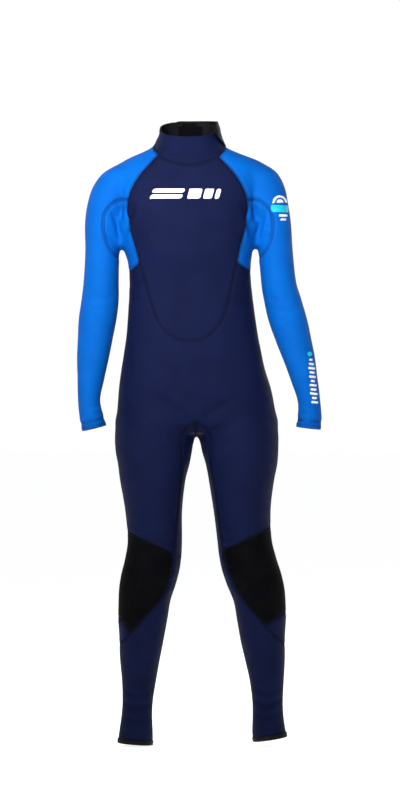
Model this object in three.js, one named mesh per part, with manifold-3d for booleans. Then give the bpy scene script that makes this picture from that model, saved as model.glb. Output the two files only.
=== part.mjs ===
// A child's full-length neoprene wetsuit with a back zip, filled out as it is when worn.
// Millimetres, +Z up, the wearer faces -Y and the wearer's left is +X.
// The origin is the centre of the neck opening, at the collar seam.
//
// The suit is one 3 mm skin over the wearer's form. The form is five tubes (trunk with neck, two
// arms, two legs), each given by a few tailor's stations. Thin blades cut the skin along its sewn
// seams, and what falls apart are the panels. The zip, hems and neck closure are added to it.
import * as THREE from 'three';
import { LoftGeometry } from 'three/addons/geometries/LoftGeometry.js';
import { mergeVertices } from 'three/addons/utils/BufferGeometryUtils.js';
import Module from 'manifold-3d';

const wasm = await Module();
wasm.setup();

// ---- driving dimensions ----
const NEOPRENE = 3; // thickness of the panels
const SEAM_GAP = 0.3; // between two panels that are sewn together
const AIR = 0.4; // between two pieces that touch
const RIGHT = -1; // the wearer's right is at -X
const LEFT = 1;

// The centre back, and the zip that lies on it, follow one arc in the YZ plane.
const SPINE_RADIUS = 900;
const SPINE_CENTRE = { y: -812, z: -195 };
const SPINE_ARC_END = -340; // below this the seat swells off the arc

const ZIP = {
  top: 4, // foot of the top stops
  bottom: -304, // foot of the opening
  tapeTop: 10,
  slotHalfWidth: 12, // half the gap between the back panels
  tapeThickness: 1,
  tapeDepth: 2.4, // from the suit's outer face in to the tape's inner face
  rowInner: 0.6, // a row of teeth runs between these two distances from the middle
  rowOuter: 3,
  rowHeight: 2.2,
};
const SLIDER_REST_HEIGHT = -4.2;

const COLLAR_SEAM = { height: -1.5, slope: 0.233 }; // z = height + slope * y
const COLLAR_TOP = { height: 34.5, slope: 0.316 };
const ARM_END = -473;
const CUFF_HEIGHT = 12;
const LEG_END = { [RIGHT]: -1001, [LEFT]: -993 };
const HEM = { height: 8.5, inward: 3.4, outward: 1.4 };

// Stations, from low to high: [height z, centre x, half width, front y, back y].
const spineY = (z) => SPINE_CENTRE.y + Math.sqrt(SPINE_RADIUS ** 2 - (z - SPINE_CENTRE.z) ** 2);
const TRUNK = [
  [-480, 10, 74, -36, 58],
  [-466, 10, 117, -54, 78],
  [-444, 9, 131, -66, 87],
  [-408, 7, 128, -74, 90],
  [-374, 5, 121.5, -75, 84],
  [SPINE_ARC_END, 4.5, 116, -73, spineY(SPINE_ARC_END)],
  [-306, 3.5, 110.5, -70, spineY(-306)],
  [-255, 1.5, 105, -64, spineY(-255)],
  [-215, 0, 103, -66, spineY(-215)],
  [-190, -1, 105, -71, spineY(-190)],
  [-165, -3, 110, -77, spineY(-165)],
  [-125, -4, 112, -80, spineY(-125)],
  [-95, -5, 115, -78, spineY(-95)],
  [-70, -4, 121, -73, spineY(-70)],
  [-45, -2, 126, -67, spineY(-45)],
  [-27, 0, 123, -61, spineY(-27)],
  [-16, 0, 106, -57, spineY(-16)],
  [-6, -1, 84, -53, spineY(-6)],
  [4, -2, 63, -50, spineY(4)],
  [14, -3, 56, -47, spineY(14)],
  [26, -3, 50, -45, spineY(26)],
  [40, -3.5, 48, -44, spineY(40)],
  [70, -4, 47, -48, spineY(70)],
];
// Limbs share their girths and depths; each side has its own line of centres, as the wearer stands.
const ARM_GIRTH = [
  // [height, half width, front y, back y]
  [-475, 21, -40, 8],
  [-452, 20, -39, 9],
  [-425, 19, -35, 13],
  [-391, 22.5, -33, 21],
  [-357, 26.5, -30, 31],
  [-323, 29.5, -28, 39],
  [-289, 32, -26, 44],
  [-255, 31.5, -26, 46],
  [-225, 30, -27, 46],
  [-170, 29, -29, 46],
  [-125, 29.5, -31, 47],
  [-90, 36, -34, 49],
  [-60, 41, -36, 50],
  [-35, 42, -36, 48],
  [-18, 24, -22, 34],
];
const ARM_CENTRES = {
  // [height, centre x]
  [RIGHT]: [[-475, -161.5], [-452, -167], [-425, -171], [-391, -168.5], [-357, -165.5],
    [-323, -161.5], [-289, -157.5], [-255, -153], [-225, -151], [-170, -149.5], [-125, -149],
    [-90, -138], [-60, -123], [-35, -101], [-18, -82]],
  [LEFT]: [[-475, 200.5], [-452, 203], [-425, 201.5], [-391, 194], [-357, 186],
    [-323, 176], [-289, 166.5], [-255, 158], [-225, 151], [-170, 145.5], [-125, 142.5],
    [-90, 131], [-60, 117.5], [-35, 98], [-18, 80]],
};
const LEG_GIRTH = [
  [-1000, 29, -31, 31],
  [-986, 28, -30.5, 30.5],
  [-961, 26, -28, 29.5],
  [-935, 26, -27, 32],
  [-901, 29, -29, 39],
  [-867, 33.5, -33, 47],
  [-833, 37.7, -38, 53],
  [-799, 41.6, -43, 55],
  [-765, 43.6, -47, 52],
  [-731, 47, -52, 48],
  [-697, 47, -55, 46],
  [-663, 46, -55, 50],
  [-612, 48.5, -60, 57],
  [-561, 55, -66, 64],
  [-510, 61, -69, 75],
  [-476, 62.5, -69, 83],
  [-430, 59, -66, 86],
];
const LEG_CENTRES = {
  [RIGHT]: [[-1000, -92.5], [-986, -91.5], [-961, -90], [-935, -88.5], [-901, -86.5],
    [-867, -85], [-833, -82.5], [-799, -80.5], [-765, -77], [-731, -70], [-697, -63],
    [-663, -59.5], [-612, -61.5], [-561, -63.5], [-510, -64.5], [-476, -64.5], [-430, -59]],
  [LEFT]: [[-1000, 136], [-986, 134], [-961, 132.5], [-935, 131.5], [-901, 130],
    [-867, 127.5], [-833, 124], [-799, 121.5], [-765, 117.5], [-731, 108.5], [-697, 99],
    [-663, 92.5], [-612, 88.5], [-561, 86.5], [-510, 83], [-476, 82], [-430, 77]],
};

// ---- materials ----
const finish = (color, roughness, metalness = 0) =>
  new THREE.MeshStandardMaterial({ color, roughness, metalness });
const NAVY_JERSEY = finish(0x16214a, 0.85);
const BLUE_JERSEY = finish(0x0a6fd6, 0.8);
const BLACK_JERSEY = finish(0x0f1012, 0.9);
const BLACK_RUBBER = finish(0x0b0b0c, 0.6);
const HOOK_AND_LOOP = finish(0x141416, 0.95);
const TAPE = finish(0x101114, 0.9);
const NYLON = finish(0x0c0c0e, 0.4);
const METAL = finish(0x8f9296, 0.35, 1);

// ---- solids ----

/** A closed geometry as a manifold solid. */
function solidOf(geometry) {
  const bare = geometry.index ? geometry.toNonIndexed() : geometry.clone();
  const points = new THREE.BufferGeometry().setAttribute('position', bare.getAttribute('position'));
  const merged = mergeVertices(points, 1e-3);
  const index = merged.index.array;
  const kept = [];
  for (let i = 0; i < index.length; i += 3) {
    const [a, b, c] = [index[i], index[i + 1], index[i + 2]];
    if (a !== b && b !== c && c !== a) kept.push(a, b, c);
  }
  const vertProperties = merged.attributes.position.array;
  return new wasm.Manifold(new wasm.Mesh({ numProp: 3, vertProperties, triVerts: new Uint32Array(kept) }));
}

/** A manifold solid as a geometry. */
function geometryOf(solid) {
  const mesh = solid.getMesh();
  return new THREE.BufferGeometry()
    .setAttribute('position', new THREE.BufferAttribute(new Float32Array(mesh.vertProperties), 3))
    .setIndex(new THREE.BufferAttribute(new Uint32Array(mesh.triVerts), 1));
}

/** A box given by its lowest and highest corners. */
function boxSolid(low, high) {
  const size = high.map((v, i) => v - low[i]);
  const middle = high.map((v, i) => (v + low[i]) / 2);
  return solidOf(new THREE.BoxGeometry(...size).translate(...middle));
}

/** Reads a table of stations at a height, with a smooth curve through them. */
function readTable(table, height) {
  let i = 0;
  while (i < table.length - 2 && table[i + 1][0] < height) i += 1;
  const rows = [table[Math.max(i - 1, 0)], table[i], table[i + 1], table[Math.min(i + 2, table.length - 1)]];
  const span = rows[2][0] - rows[1][0];
  const t = THREE.MathUtils.clamp((height - rows[1][0]) / span, -0.5, 1.5);
  return rows[1].map((value, column) => {
    if (column === 0) return height;
    const slopeIn = ((rows[2][column] - rows[0][column]) / (rows[2][0] - rows[0][0])) * span;
    const slopeOut = ((rows[3][column] - rows[1][column]) / (rows[3][0] - rows[1][0])) * span;
    const rise = rows[2][column] - value;
    return value + t * (slopeIn + t * (3 * rise - 2 * slopeIn - slopeOut + t * (slopeIn + slopeOut - 2 * rise)));
  });
}

/** One tube of the form: reads its section at a height, and makes its rings and its solid. */
class Tube {
  constructor(settings) {
    Object.assign(this, settings); // read, heights, bottom, top, sides, power, turnsUpright
  }

  centre(height) {
    const [, x, , front, back] = this.read(height);
    return new THREE.Vector3(x, (front + back) / 2, height);
  }

  /** The way the tube runs: along its line of centres, turning upright where it joins the trunk. */
  direction(height) {
    const along = this.centre(height + 2).sub(this.centre(height - 2)).normalize();
    const upright = THREE.MathUtils.smoothstep(height, ...this.turnsUpright);
    return along.lerp(new THREE.Vector3(0, 0, 1), upright).normalize();
  }

  /** The point of the section at an angle about +Z from +X, with the skin set in by inset. */
  point(height, angle, inset = 0) {
    const [, , halfWidth, front, back] = this.read(height);
    const reach = 2 / this.power;
    const across = Math.sign(Math.cos(angle)) * Math.abs(Math.cos(angle)) ** reach * (halfWidth - inset);
    const along = Math.sign(Math.sin(angle)) * Math.abs(Math.sin(angle)) ** reach * ((back - front) / 2 - inset);
    const up = this.direction(height);
    const toBack = new THREE.Vector3(0, 1, 0).addScaledVector(up, -up.y).normalize();
    const toLeft = new THREE.Vector3().crossVectors(toBack, up);
    return this.centre(height).addScaledVector(toLeft, across).addScaledVector(toBack, along);
  }

  /** The section at a height. Beyond either end, the end section moved on along the tube. */
  ring(height, inset) {
    const read = THREE.MathUtils.clamp(height, this.bottom, this.top);
    const onward = this.direction(read).multiplyScalar(height - read);
    const points = [];
    for (let side = 0; side < this.sides; side += 1) {
      points.push(this.point(read, (2 * Math.PI * side) / this.sides, inset).add(onward));
    }
    return points;
  }

  /** The tube as a solid, set in by inset and longer at each end by runOut. */
  solid(inset, runOut) {
    const between = this.heights.filter((height) => height > this.bottom + 5 && height < this.top - 5);
    const heights = [this.bottom - runOut.below, ...between, this.top + runOut.above];
    const rings = heights.map((height) => this.ring(height, inset));
    return solidOf(new LoftGeometry(rings, { capStart: true, capEnd: true }));
  }
}

const withCentres = (girth, centres) => (height) => {
  const [, halfWidth, front, back] = readTable(girth, height);
  return [height, readTable(centres, height)[1], halfWidth, front, back];
};
const trunk = new Tube({
  read: (z) => readTable(TRUNK, z),
  heights: TRUNK.map(([z]) => z),
  bottom: -480,
  top: 66,
  sides: 28,
  power: 2.35,
  turnsUpright: [-2000, -1999],
});
const arms = {};
const legs = {};
for (const side of [RIGHT, LEFT]) {
  arms[side] = new Tube({
    read: withCentres(ARM_GIRTH, ARM_CENTRES[side]),
    heights: ARM_GIRTH.map(([z]) => z),
    bottom: ARM_END,
    top: -18,
    sides: 14,
    power: 2,
    turnsUpright: [-300, -120],
  });
  legs[side] = new Tube({
    read: withCentres(LEG_GIRTH, LEG_CENTRES[side]),
    heights: LEG_GIRTH.map(([z]) => z),
    bottom: LEG_END[side],
    top: -430,
    sides: 16,
    power: 2.1,
    turnsUpright: [-700, -500],
  });
}

/** The whole skin: the form less the same form set in by the neoprene's thickness. */
function makeSkin() {
  const limbs = [arms[RIGHT], arms[LEFT], legs[RIGHT], legs[LEFT]];
  let outer = trunk.solid(0, { below: 0, above: 0 });
  let inner = trunk.solid(NEOPRENE, { below: -NEOPRENE, above: 20 });
  for (const limb of limbs) {
    outer = outer.add(limb.solid(0, { below: 0, above: 0 }));
    inner = inner.add(limb.solid(NEOPRENE, { below: 12, above: -NEOPRENE }));
  }
  const skin = outer.subtract(inner);
  return skin.subtract(slopedSlab(COLLAR_TOP, 100, 50));
}

/** A slab whose middle follows z = height + slope * y, moved up by lift. */
function slopedSlab({ height, slope }, thickness, lift = 0) {
  const slab = new THREE.BoxGeometry(280, 220, thickness);
  slab.translate(0, 0, lift).rotateX(Math.atan(slope)).translate(0, 0, height);
  return solidOf(slab);
}

// ---- seams ----

/** A thin ribbon along a curve of (across, height) points: half a seam gap to each side of it. */
function ribbonShape(points, smooth) {
  const vectors = points.map(([u, v]) => new THREE.Vector2(u, v));
  const line = smooth ? new THREE.SplineCurve(vectors).getPoints(points.length) : vectors;
  const runOn = (end, next) => end.add(end.clone().sub(next).setLength(SEAM_GAP));
  runOn(line[0], line[1]);
  runOn(line[line.length - 1], line[line.length - 2]);
  const edges = [[], []];
  line.forEach((point, i) => {
    const before = line[Math.max(i - 1, 0)];
    const after = line[Math.min(i + 1, line.length - 1)];
    const along = after.clone().sub(before).normalize();
    const aside = new THREE.Vector2(-along.y, along.x).multiplyScalar(SEAM_GAP / 2);
    edges[0].push(point.clone().add(aside));
    edges[1].unshift(point.clone().sub(aside));
  });
  return new THREE.Shape([...edges[0], ...edges[1]]);
}

/** A seam seen from the front, cut through the skin between two depths. */
function frontSeam(points, fromY, toY, smooth = true) {
  const blade = new THREE.ExtrudeGeometry(ribbonShape(points, smooth), { depth: toY - fromY, bevelEnabled: false });
  return solidOf(blade.rotateX(Math.PI / 2).translate(0, toY, 0));
}

/** A seam seen from the side, of (y, height) points, cut through the skin between two widths. */
function sideSeam(points, fromX, toX) {
  const blade = new THREE.ExtrudeGeometry(ribbonShape(points, true), { depth: toX - fromX, bevelEnabled: false });
  return solidOf(blade.rotateX(Math.PI / 2).rotateZ(Math.PI / 2).translate(fromX, 0, 0));
}

const AHEAD = -150; // in front of and behind every panel
const BEHIND = 150;
const MIDDLE = 4; // a depth inside the trunk and the limbs

// The front shield panel and the back one have the same outline down to the side panel.
const SHIELD_SIDE = [[82, -195], [92, -158], [99.5, -126], [102, -99], [98, -75], [86, -52], [73, -35], [58, -19]];
const CHEST_OUTLINE = [[0, -325], [24, -321], [46, -303], [60, -277], [70, -242], ...SHIELD_SIDE, [48, -6], [44, 4]];
const BACK_OUTLINE = [[0, -350], [22, -340], [42, -314], [58, -278], [70, -240], ...SHIELD_SIDE, [40, 2], [32, 18]];
const SHIELD_LEAN = -4; // the chest stands this far to the wearer's right of the collar
const shieldLean = (z) => SHIELD_LEAN * THREE.MathUtils.smoothstep(z, -300, -150);
const outlineOf = (half, side) => half.map(([x, z]) => [side * x + shieldLean(z), z]);

// The underarm panel: across the armpit, then round the inside of the sleeve. Offsets from the arm's centre.
const UNDERARM_CURVE = {
  [RIGHT]: [[-103, -87], [-118, -86], [-131, -92], [-142, -103], [-147, -120], [-146, -142], [-139, -163],
    [-128, -178], [-117.6, -184]],
  [LEFT]: [[96, -87], [111, -86], [124, -92], [135, -103], [140, -120], [139.5, -142], [133, -163],
    [123, -178], [111.8, -186]],
};
const SIDE_PANEL_FOOT = { [RIGHT]: [[-82, -190], [-99, -204], [-111, -211]], [LEFT]: [[76, -190], [97, -204], [110, -211]] };

// The outer leg seam, of (y, height) points, runs just behind the side of the hip, knee and calf.
const OUTER_LEG_SEAM = [[12, -206], [16, -300], [20, -420], [12, -561], [2, -697], [6, -770], [12, -850], [8, -930], [4, -1010]];
// The heights at which the knee pad's and the shin's edges reach that seam. Between the pad's foot
// and the shin's top edge it is left out, as the calf panel comes round to the front there.
const SEAM_BREAK = {
  [RIGHT]: { padTop: -642, padFoot: -799.5, shin: -837 },
  [LEFT]: { padTop: -638, padFoot: -788.5, shin: -838 },
};
const INSIDE_LEG = { [RIGHT]: -75, [LEFT]: 118 }; // a width inside both the thigh and the ankle

// The seams of the leg's front, from the crotch down, and the knee pad's edges, as (x, height).
const CROTCH = { x: 10, front: -464, back: -452 };
const LEG_FRONT = {
  [RIGHT]: {
    inner: [[CROTCH.x, CROTCH.front], [-6, -472], [-15, -490], [-14, -520], [-15, -555], [-19, -592], [-23, -635],
      [-28.7, -682], [-28.7, -700], [-34, -728], [-45, -756], [-68, -785], [-103.5, -822.5]],
    shin: [[-103.5, -822.5], [-120, -841], [-135, -856]],
    padTop: [[-28, -683], [-103, -650], [-130, -638]],
    padFoot: [[-102.5, -821.5], [-112, -804], [-124, -792], [-135, -784]],
  },
  [LEFT]: {
    inner: [[CROTCH.x, CROTCH.front], [26, -472], [35, -490], [34, -520], [39, -555], [45, -592], [50.5, -635],
      [56.5, -677], [57, -693], [65, -716], [76, -742], [99, -775], [129.7, -809]],
    shin: [[129.7, -809], [161, -841], [175, -856]],
    padTop: [[55.8, -678], [136, -641], [170, -625]],
    padFoot: [[128.7, -808], [143, -797], [164, -785], [185, -772]],
  },
};
const LEG_BACK_INNER = {
  [RIGHT]: [[CROTCH.x, CROTCH.back], [-8, -464], [-20, -490], [-18, -555], [-22, -640], [-28, -697], [-42, -765],
    [-52, -833], [-66, -901], [-72, -960], [-72, -1010]],
  [LEFT]: [[CROTCH.x, CROTCH.back], [28, -464], [38, -490], [38, -530], [44, -580], [52, -640], [64, -697], [82, -765],
    [94, -833], [110, -901], [114, -960], [116, -1010]],
};

/** The depth of the outer leg seam at a height. */
function outerSeamDepth(height) {
  const falling = OUTER_LEG_SEAM.map(([y, z]) => [z, y]).reverse();
  return readTable(falling, height)[1];
}

/** A seam of the leg's front that runs out to the outer leg seam at a height. */
function seamToOuter(points, height) {
  return frontSeam(points, AHEAD, outerSeamDepth(height) + SEAM_GAP);
}

/** A piece of the outer leg seam between two heights, cut between two widths. */
function outerLegSeam(high, low, fromX, toX) {
  const steps = Math.ceil((high - low) / 70);
  const points = [];
  for (let i = 0; i <= steps; i += 1) {
    const height = THREE.MathUtils.lerp(high, low, i / steps);
    points.push([outerSeamDepth(height), height]);
  }
  return sideSeam(points, fromX, toX);
}

/** Every seam blade of the suit. */
function makeBlades() {
  const blades = [
    slopedSlab(COLLAR_SEAM, SEAM_GAP),
    frontSeam([[0, ZIP.bottom + 2], [0, -351]], MIDDLE, BEHIND, false),
    frontSeam([[0, -349], [4, -400], [CROTCH.x, CROTCH.back]], MIDDLE, BEHIND),
    frontSeam([[CROTCH.x, CROTCH.back], [CROTCH.x, -500]], MIDDLE, BEHIND, false),
    frontSeam([[CROTCH.x, CROTCH.front], [CROTCH.x, -500]], AHEAD, MIDDLE, false),
  ];
  for (const side of [RIGHT, LEFT]) {
    const front = LEG_FRONT[side];
    const reach = (near, far) => (side === RIGHT ? [-far, -near] : [near, far]);
    const outside = side === RIGHT ? [-230, INSIDE_LEG[RIGHT]] : [INSIDE_LEG[LEFT], 250];
    blades.push(
      frontSeam(outlineOf(CHEST_OUTLINE, side), AHEAD, MIDDLE),
      frontSeam(outlineOf(BACK_OUTLINE, side), MIDDLE, BEHIND),
      frontSeam(UNDERARM_CURVE[side], AHEAD, BEHIND),
      frontSeam(SIDE_PANEL_FOOT[side], AHEAD, BEHIND),
      outerLegSeam(-204, -330, ...reach(60, side === RIGHT ? 117 : 124)),
      outerLegSeam(-330, -485, ...reach(60, side === RIGHT ? 131 : 148)),
      outerLegSeam(-485, SEAM_BREAK[side].padFoot, ...outside),
      outerLegSeam(SEAM_BREAK[side].shin, -1030, ...outside),
      frontSeam(front.inner, AHEAD, MIDDLE),
      seamToOuter(front.shin, SEAM_BREAK[side].shin),
      seamToOuter(front.padTop, SEAM_BREAK[side].padTop),
      seamToOuter(front.padFoot, SEAM_BREAK[side].padFoot),
      frontSeam(LEG_BACK_INNER[side], MIDDLE, BEHIND),
      cuffBlade(arms[side]),
    );
  }
  return blades;
}

/** The seam between a sleeve and its cuff, square to the arm. */
function cuffBlade(arm) {
  const height = arm.bottom + CUFF_HEIGHT;
  const blade = new THREE.BoxGeometry(80, 90, SEAM_GAP);
  const turn = new THREE.Quaternion().setFromUnitVectors(new THREE.Vector3(0, 0, 1), arm.direction(arm.bottom));
  return solidOf(blade.applyQuaternion(turn).translate(...arm.centre(height)));
}

// A point on each panel. What falls out of the cut skin is named by the point it fills most around.
const PROBE_REACH = 7;
const PANELS = [
  ['collar', NAVY_JERSEY, [0, -47, 5]],
  ['chest_panel', NAVY_JERSEY, [0, -80, -150]],
  ['front_body_panel', NAVY_JERSEY, [5, -74, -400]],
  ['back_panel_right', NAVY_JERSEY, [-50, 80, -150]],
  ['back_panel_left', NAVY_JERSEY, [50, 80, -150]],
  ['sleeve_right', BLUE_JERSEY, [-188, 8, -320]],
  ['sleeve_left', BLUE_JERSEY, [206, 8, -320]],
  ['underarm_panel_right', BLUE_JERSEY, [-110, 0, -185]],
  ['underarm_panel_left', BLUE_JERSEY, [107, 0, -185]],
  ['wrist_cuff_right', BLUE_JERSEY, [-184, -16, -470]],
  ['wrist_cuff_left', BLUE_JERSEY, [222, -16, -470]],
  ['seat_and_leg_panel_right', NAVY_JERSEY, [-60, 80, -480]],
  ['seat_and_leg_panel_left', NAVY_JERSEY, [80, 80, -480]],
  ['inner_leg_panel_right', NAVY_JERSEY, [-88, -28, -930]],
  ['inner_leg_panel_left', NAVY_JERSEY, [131, -28, -930]],
  ['knee_pad_right', BLACK_JERSEY, [-63, -55, -700]],
  ['knee_pad_left', BLACK_JERSEY, [99, -55, -700]],
];

/** The skin cut into its panels, each as {name, material, solid}. */
function makePanels() {
  const slot = boxSolid([-ZIP.slotHalfWidth, 30, ZIP.bottom], [ZIP.slotHalfWidth, 130, 80]);
  let cut = makeSkin().subtract(slot);
  for (const blade of makeBlades()) cut = cut.subtract(blade);
  const pieces = cut.decompose();
  return PANELS.map(([name, material, probe]) => {
    const near = boxSolid(probe.map((v) => v - PROBE_REACH), probe.map((v) => v + PROBE_REACH));
    const filled = pieces.map((piece) => piece.intersect(near).volume());
    return { name, material, solid: pieces[filled.indexOf(Math.max(...filled))] };
  });
}

// ---- zip ----

/** A group placed at a height on the zip's arc: its +Y points away from the back, its +Z up the zip. */
function zipPlace(height) {
  const turn = Math.asin((height - SPINE_CENTRE.z) / SPINE_RADIUS);
  const place = new THREE.Group();
  place.position.set(0, SPINE_CENTRE.y + SPINE_RADIUS * Math.cos(turn), height);
  place.rotation.x = turn;
  return place;
}

/** A strip along the arc from one height to another; corners are (x, distance out from the skin). */
function arcStrip(corners, low, high, steps) {
  const from = Math.asin((low - SPINE_CENTRE.z) / SPINE_RADIUS);
  const to = Math.asin((high - SPINE_CENTRE.z) / SPINE_RADIUS);
  const rings = [];
  for (let i = 0; i <= steps; i += 1) {
    const turn = THREE.MathUtils.lerp(from, to, i / steps);
    rings.push(corners.map(([x, out]) => new THREE.Vector3(
      x,
      SPINE_CENTRE.y + (SPINE_RADIUS + out) * Math.cos(turn),
      SPINE_CENTRE.z + (SPINE_RADIUS + out) * Math.sin(turn),
    )));
  }
  return new LoftGeometry(rings, { capStart: true, capEnd: true });
}

const rectangle = (x0, x1, out0, out1) => [[x0, out0], [x1, out0], [x1, out1], [x0, out1]];

/** The tape, the row of teeth and the top stop on one side of the zip. */
function zipSide(side, name) {
  const edges = (a, b) => (side === LEFT ? [a, b] : [-b, -a]);
  const tapeFace = ZIP.tapeThickness - ZIP.tapeDepth;
  const rowFoot = tapeFace + AIR;
  const rowTop = rowFoot + ZIP.rowHeight;
  const tape = rectangle(...edges(ZIP.rowInner, ZIP.slotHalfWidth - AIR), -ZIP.tapeDepth, tapeFace);
  const row = rectangle(...edges(ZIP.rowInner, ZIP.rowOuter), rowFoot, rowTop);
  const stop = rectangle(...edges(ZIP.rowInner, ZIP.rowOuter + 0.6), rowFoot, rowTop + 0.6);
  return [
    [`zip_tape_${name}`, TAPE, arcStrip(tape, ZIP.bottom + AIR, ZIP.tapeTop, 14)],
    [`zip_teeth_${name}`, NYLON, arcStrip(row, ZIP.bottom + 5, ZIP.top - AIR, 14)],
    [`zip_top_stop_${name}`, METAL, arcStrip(stop, ZIP.top, ZIP.top + 3.5, 1)],
  ];
}

/** The bar across both rows at the foot of the zip. */
function zipBottomStop() {
  const rowFoot = ZIP.tapeThickness - ZIP.tapeDepth + AIR;
  return arcStrip(rectangle(-3.6, 3.6, rowFoot, rowFoot + 2.8), ZIP.bottom + 1, ZIP.bottom + 4.5, 1);
}

/** The rounded patch on the outside that finishes the zip's lower end. */
function zipEndPatch() {
  const outline = new THREE.Shape();
  outline.moveTo(-15, 2).lineTo(15, 2).lineTo(15, -14);
  outline.absarc(0, -14, 15, 0, -Math.PI, true);
  const sides = new THREE.ExtrudeGeometry(outline, { depth: 40, bevelEnabled: false, curveSegments: 6 })
    .rotateX(Math.PI / 2).translate(0, SPINE_CENTRE.y + SPINE_RADIUS + 20, ZIP.bottom - 2);
  const sheet = arcStrip(rectangle(-20, 20, AIR, AIR + 1.4), ZIP.bottom - 40, ZIP.bottom, 4);
  return geometryOf(solidOf(sheet).intersect(solidOf(sides)));
}

/** The soft flap behind the zip, bowed to lie inside the back and the collar. */
function zipBackingFlap() {
  const section = [[-20, -10.4], [-9, -6.8], [9, -6.8], [20, -10.4], [20, -8.6], [9, -4.8], [-9, -4.8], [-20, -8.6]];
  return arcStrip(section, ZIP.bottom + 10, 45, 12);
}

// The slider in its own frame: X across, Y out from the skin, Z up the zip. Its web runs between
// the rows of teeth, and the pull tab turns on a bar held under its bridge.
const SLIDER = {
  halfWidth: 5.4,
  halfLength: 7.5,
  plate: 1.3,
  upper: 1.7,
  lower: -4.1,
  webHalf: 0.25,
  postHalf: 2.6,
  bridgeFoot: 5,
  bridgeTop: 6.6,
};
const PIVOT_OUT = 4; // the pull tab's bar, out from the skin

/** The slider's body: two plates joined by a web, with a bridge on top. */
function makeSlider() {
  const s = SLIDER;
  const outline = new THREE.Shape([[-0.62, -1], [0.62, -1], [1, 0.35], [0.8, 1], [-0.8, 1], [-1, 0.35]]
    .map(([u, v]) => new THREE.Vector2(u * s.halfWidth, v * s.halfLength)));
  const plate = (out) => solidOf(
    new THREE.ExtrudeGeometry(outline, { depth: s.plate, bevelEnabled: false })
      .rotateX(Math.PI / 2).translate(0, out + s.plate, 0),
  );
  const face = s.upper + s.plate;
  return [
    plate(s.upper),
    plate(s.lower),
    boxSolid([-s.webHalf, s.lower + 0.2, 1], [s.webHalf, s.upper + 0.2, s.halfLength - 1]),
    boxSolid([-s.postHalf, face - 0.3, -4.4], [s.postHalf, s.bridgeTop, -3]),
    boxSolid([-s.postHalf, face - 0.3, 3], [s.postHalf, s.bridgeTop, 4.4]),
    boxSolid([-1.3, s.bridgeFoot, -3.2], [1.3, s.bridgeTop, 3.2]),
  ].reduce((all, piece) => all.add(piece));
}

// The pull tab in the slider's frame, hanging down over the zip from its pivot bar.
const PULL_TAB = { halfWidth: 4.2, leg: 1.2, bar: 0.5, eyeFoot: -6.2, foot: -26, thickness: 1.1, hole: 1.8 };

/** A flat metal tab: its eye goes round the bridge's lower post, its hole is for a leash. */
function makePullTab() {
  const t = PULL_TAB;
  const inside = t.halfWidth - t.leg;
  const outline = new THREE.Shape();
  outline.moveTo(-t.halfWidth, t.bar).lineTo(-t.halfWidth, t.foot + 2);
  outline.quadraticCurveTo(-t.halfWidth, t.foot, -t.halfWidth + 2, t.foot);
  outline.lineTo(t.halfWidth - 2, t.foot);
  outline.quadraticCurveTo(t.halfWidth, t.foot, t.halfWidth, t.foot + 2);
  outline.lineTo(t.halfWidth, t.bar);
  const eye = new THREE.Path();
  eye.moveTo(-inside, -t.bar).lineTo(inside, -t.bar).lineTo(inside, t.eyeFoot).lineTo(-inside, t.eyeFoot);
  const hole = new THREE.Path();
  hole.absarc(0, t.foot + 4, t.hole, 0, 2 * Math.PI, false);
  outline.holes.push(eye, hole);
  return new THREE.ExtrudeGeometry(outline, { depth: t.thickness, bevelEnabled: false, curveSegments: 6 })
    .rotateX(Math.PI / 2).translate(0, PIVOT_OUT + t.thickness / 2, 0);
}

// ---- neck closure ----

// Stations round the collar from the free end to the sewn root. An angle is about the neck's middle,
// 0 at the wearer's left, 90 at the back: [angle, low edge, high edge, gap below, gap above].
const NECK_TAB = [
  [-31, 22, 42, 3.4, 3.4],
  [-25, 14, 46, 3.0, 3.4],
  [-14, 8.5, 49, 2.2, 3.4],
  [0, 6, 50.5, 1.4, 3.6],
  [14, 6.5, 51, 1.6, 4.6],
  [30, 8, 51.5, 1.8, 5.4],
  [50, 10, 52, 1.8, 5],
  [70, 12, 52.5, 1.6, 4],
  [90, 15, 52.5, 1.6, 2.8],
  [106, 17, 52, 1.2, 1.6],
  [118, 20, 48, 0.6, 0.6],
];
const NECK_TAB_THICKNESS = 2.6;
const NECK_TAB_BEND = 24; // height at which the tab bends in towards the shoulder

/** A strip round the collar through stations [angle, [height, gap], [height, gap], ...]. */
function collarStrip(stations, thickness) {
  const rings = stations.map(([degrees, ...edges]) => {
    const at = (gap) => ([height, away]) =>
      trunk.point(height, THREE.MathUtils.degToRad(degrees), -(away + gap));
    return [...edges.map(at(0)), ...edges.slice().reverse().map(at(thickness))];
  });
  return new LoftGeometry(rings, { capStart: true, capEnd: true });
}

/** The closure tab, which crosses the back opening and ends on the wearer's left. */
function neckTab() {
  const stations = NECK_TAB.map(([angle, low, high, gapLow, gapHigh]) =>
    [angle, [low, gapLow], [NECK_TAB_BEND, gapHigh], [high, gapHigh]]);
  return collarStrip(stations, NECK_TAB_THICKNESS);
}

/** A patch of hook or loop between the tab's free end and the collar. */
function closurePatch(away, thickness) {
  const stations = [-26, -19, -12, -4].map((angle) => [angle, [25, away], [36, away]]);
  return collarStrip(stations, thickness);
}

// ---- hems ----

/** The binding round a leg's end. */
function ankleHem(leg) {
  const band = (inset, from, to) => solidOf(new LoftGeometry(
    [to, from].map((below) => leg.ring(leg.bottom - below, inset)),
    { capStart: true, capEnd: true },
  ));
  const outer = band(-HEM.outward, AIR, HEM.height);
  return geometryOf(outer.subtract(band(HEM.inward, AIR - 2, HEM.height + 2)));
}

// ---- build ----
const suit = new THREE.Group();

/** Adds a named mesh to a group. */
function addMesh(parent, name, geometry, material) {
  const mesh = new THREE.Mesh(geometry, material);
  mesh.name = name;
  parent.add(mesh);
  return mesh;
}

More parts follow.
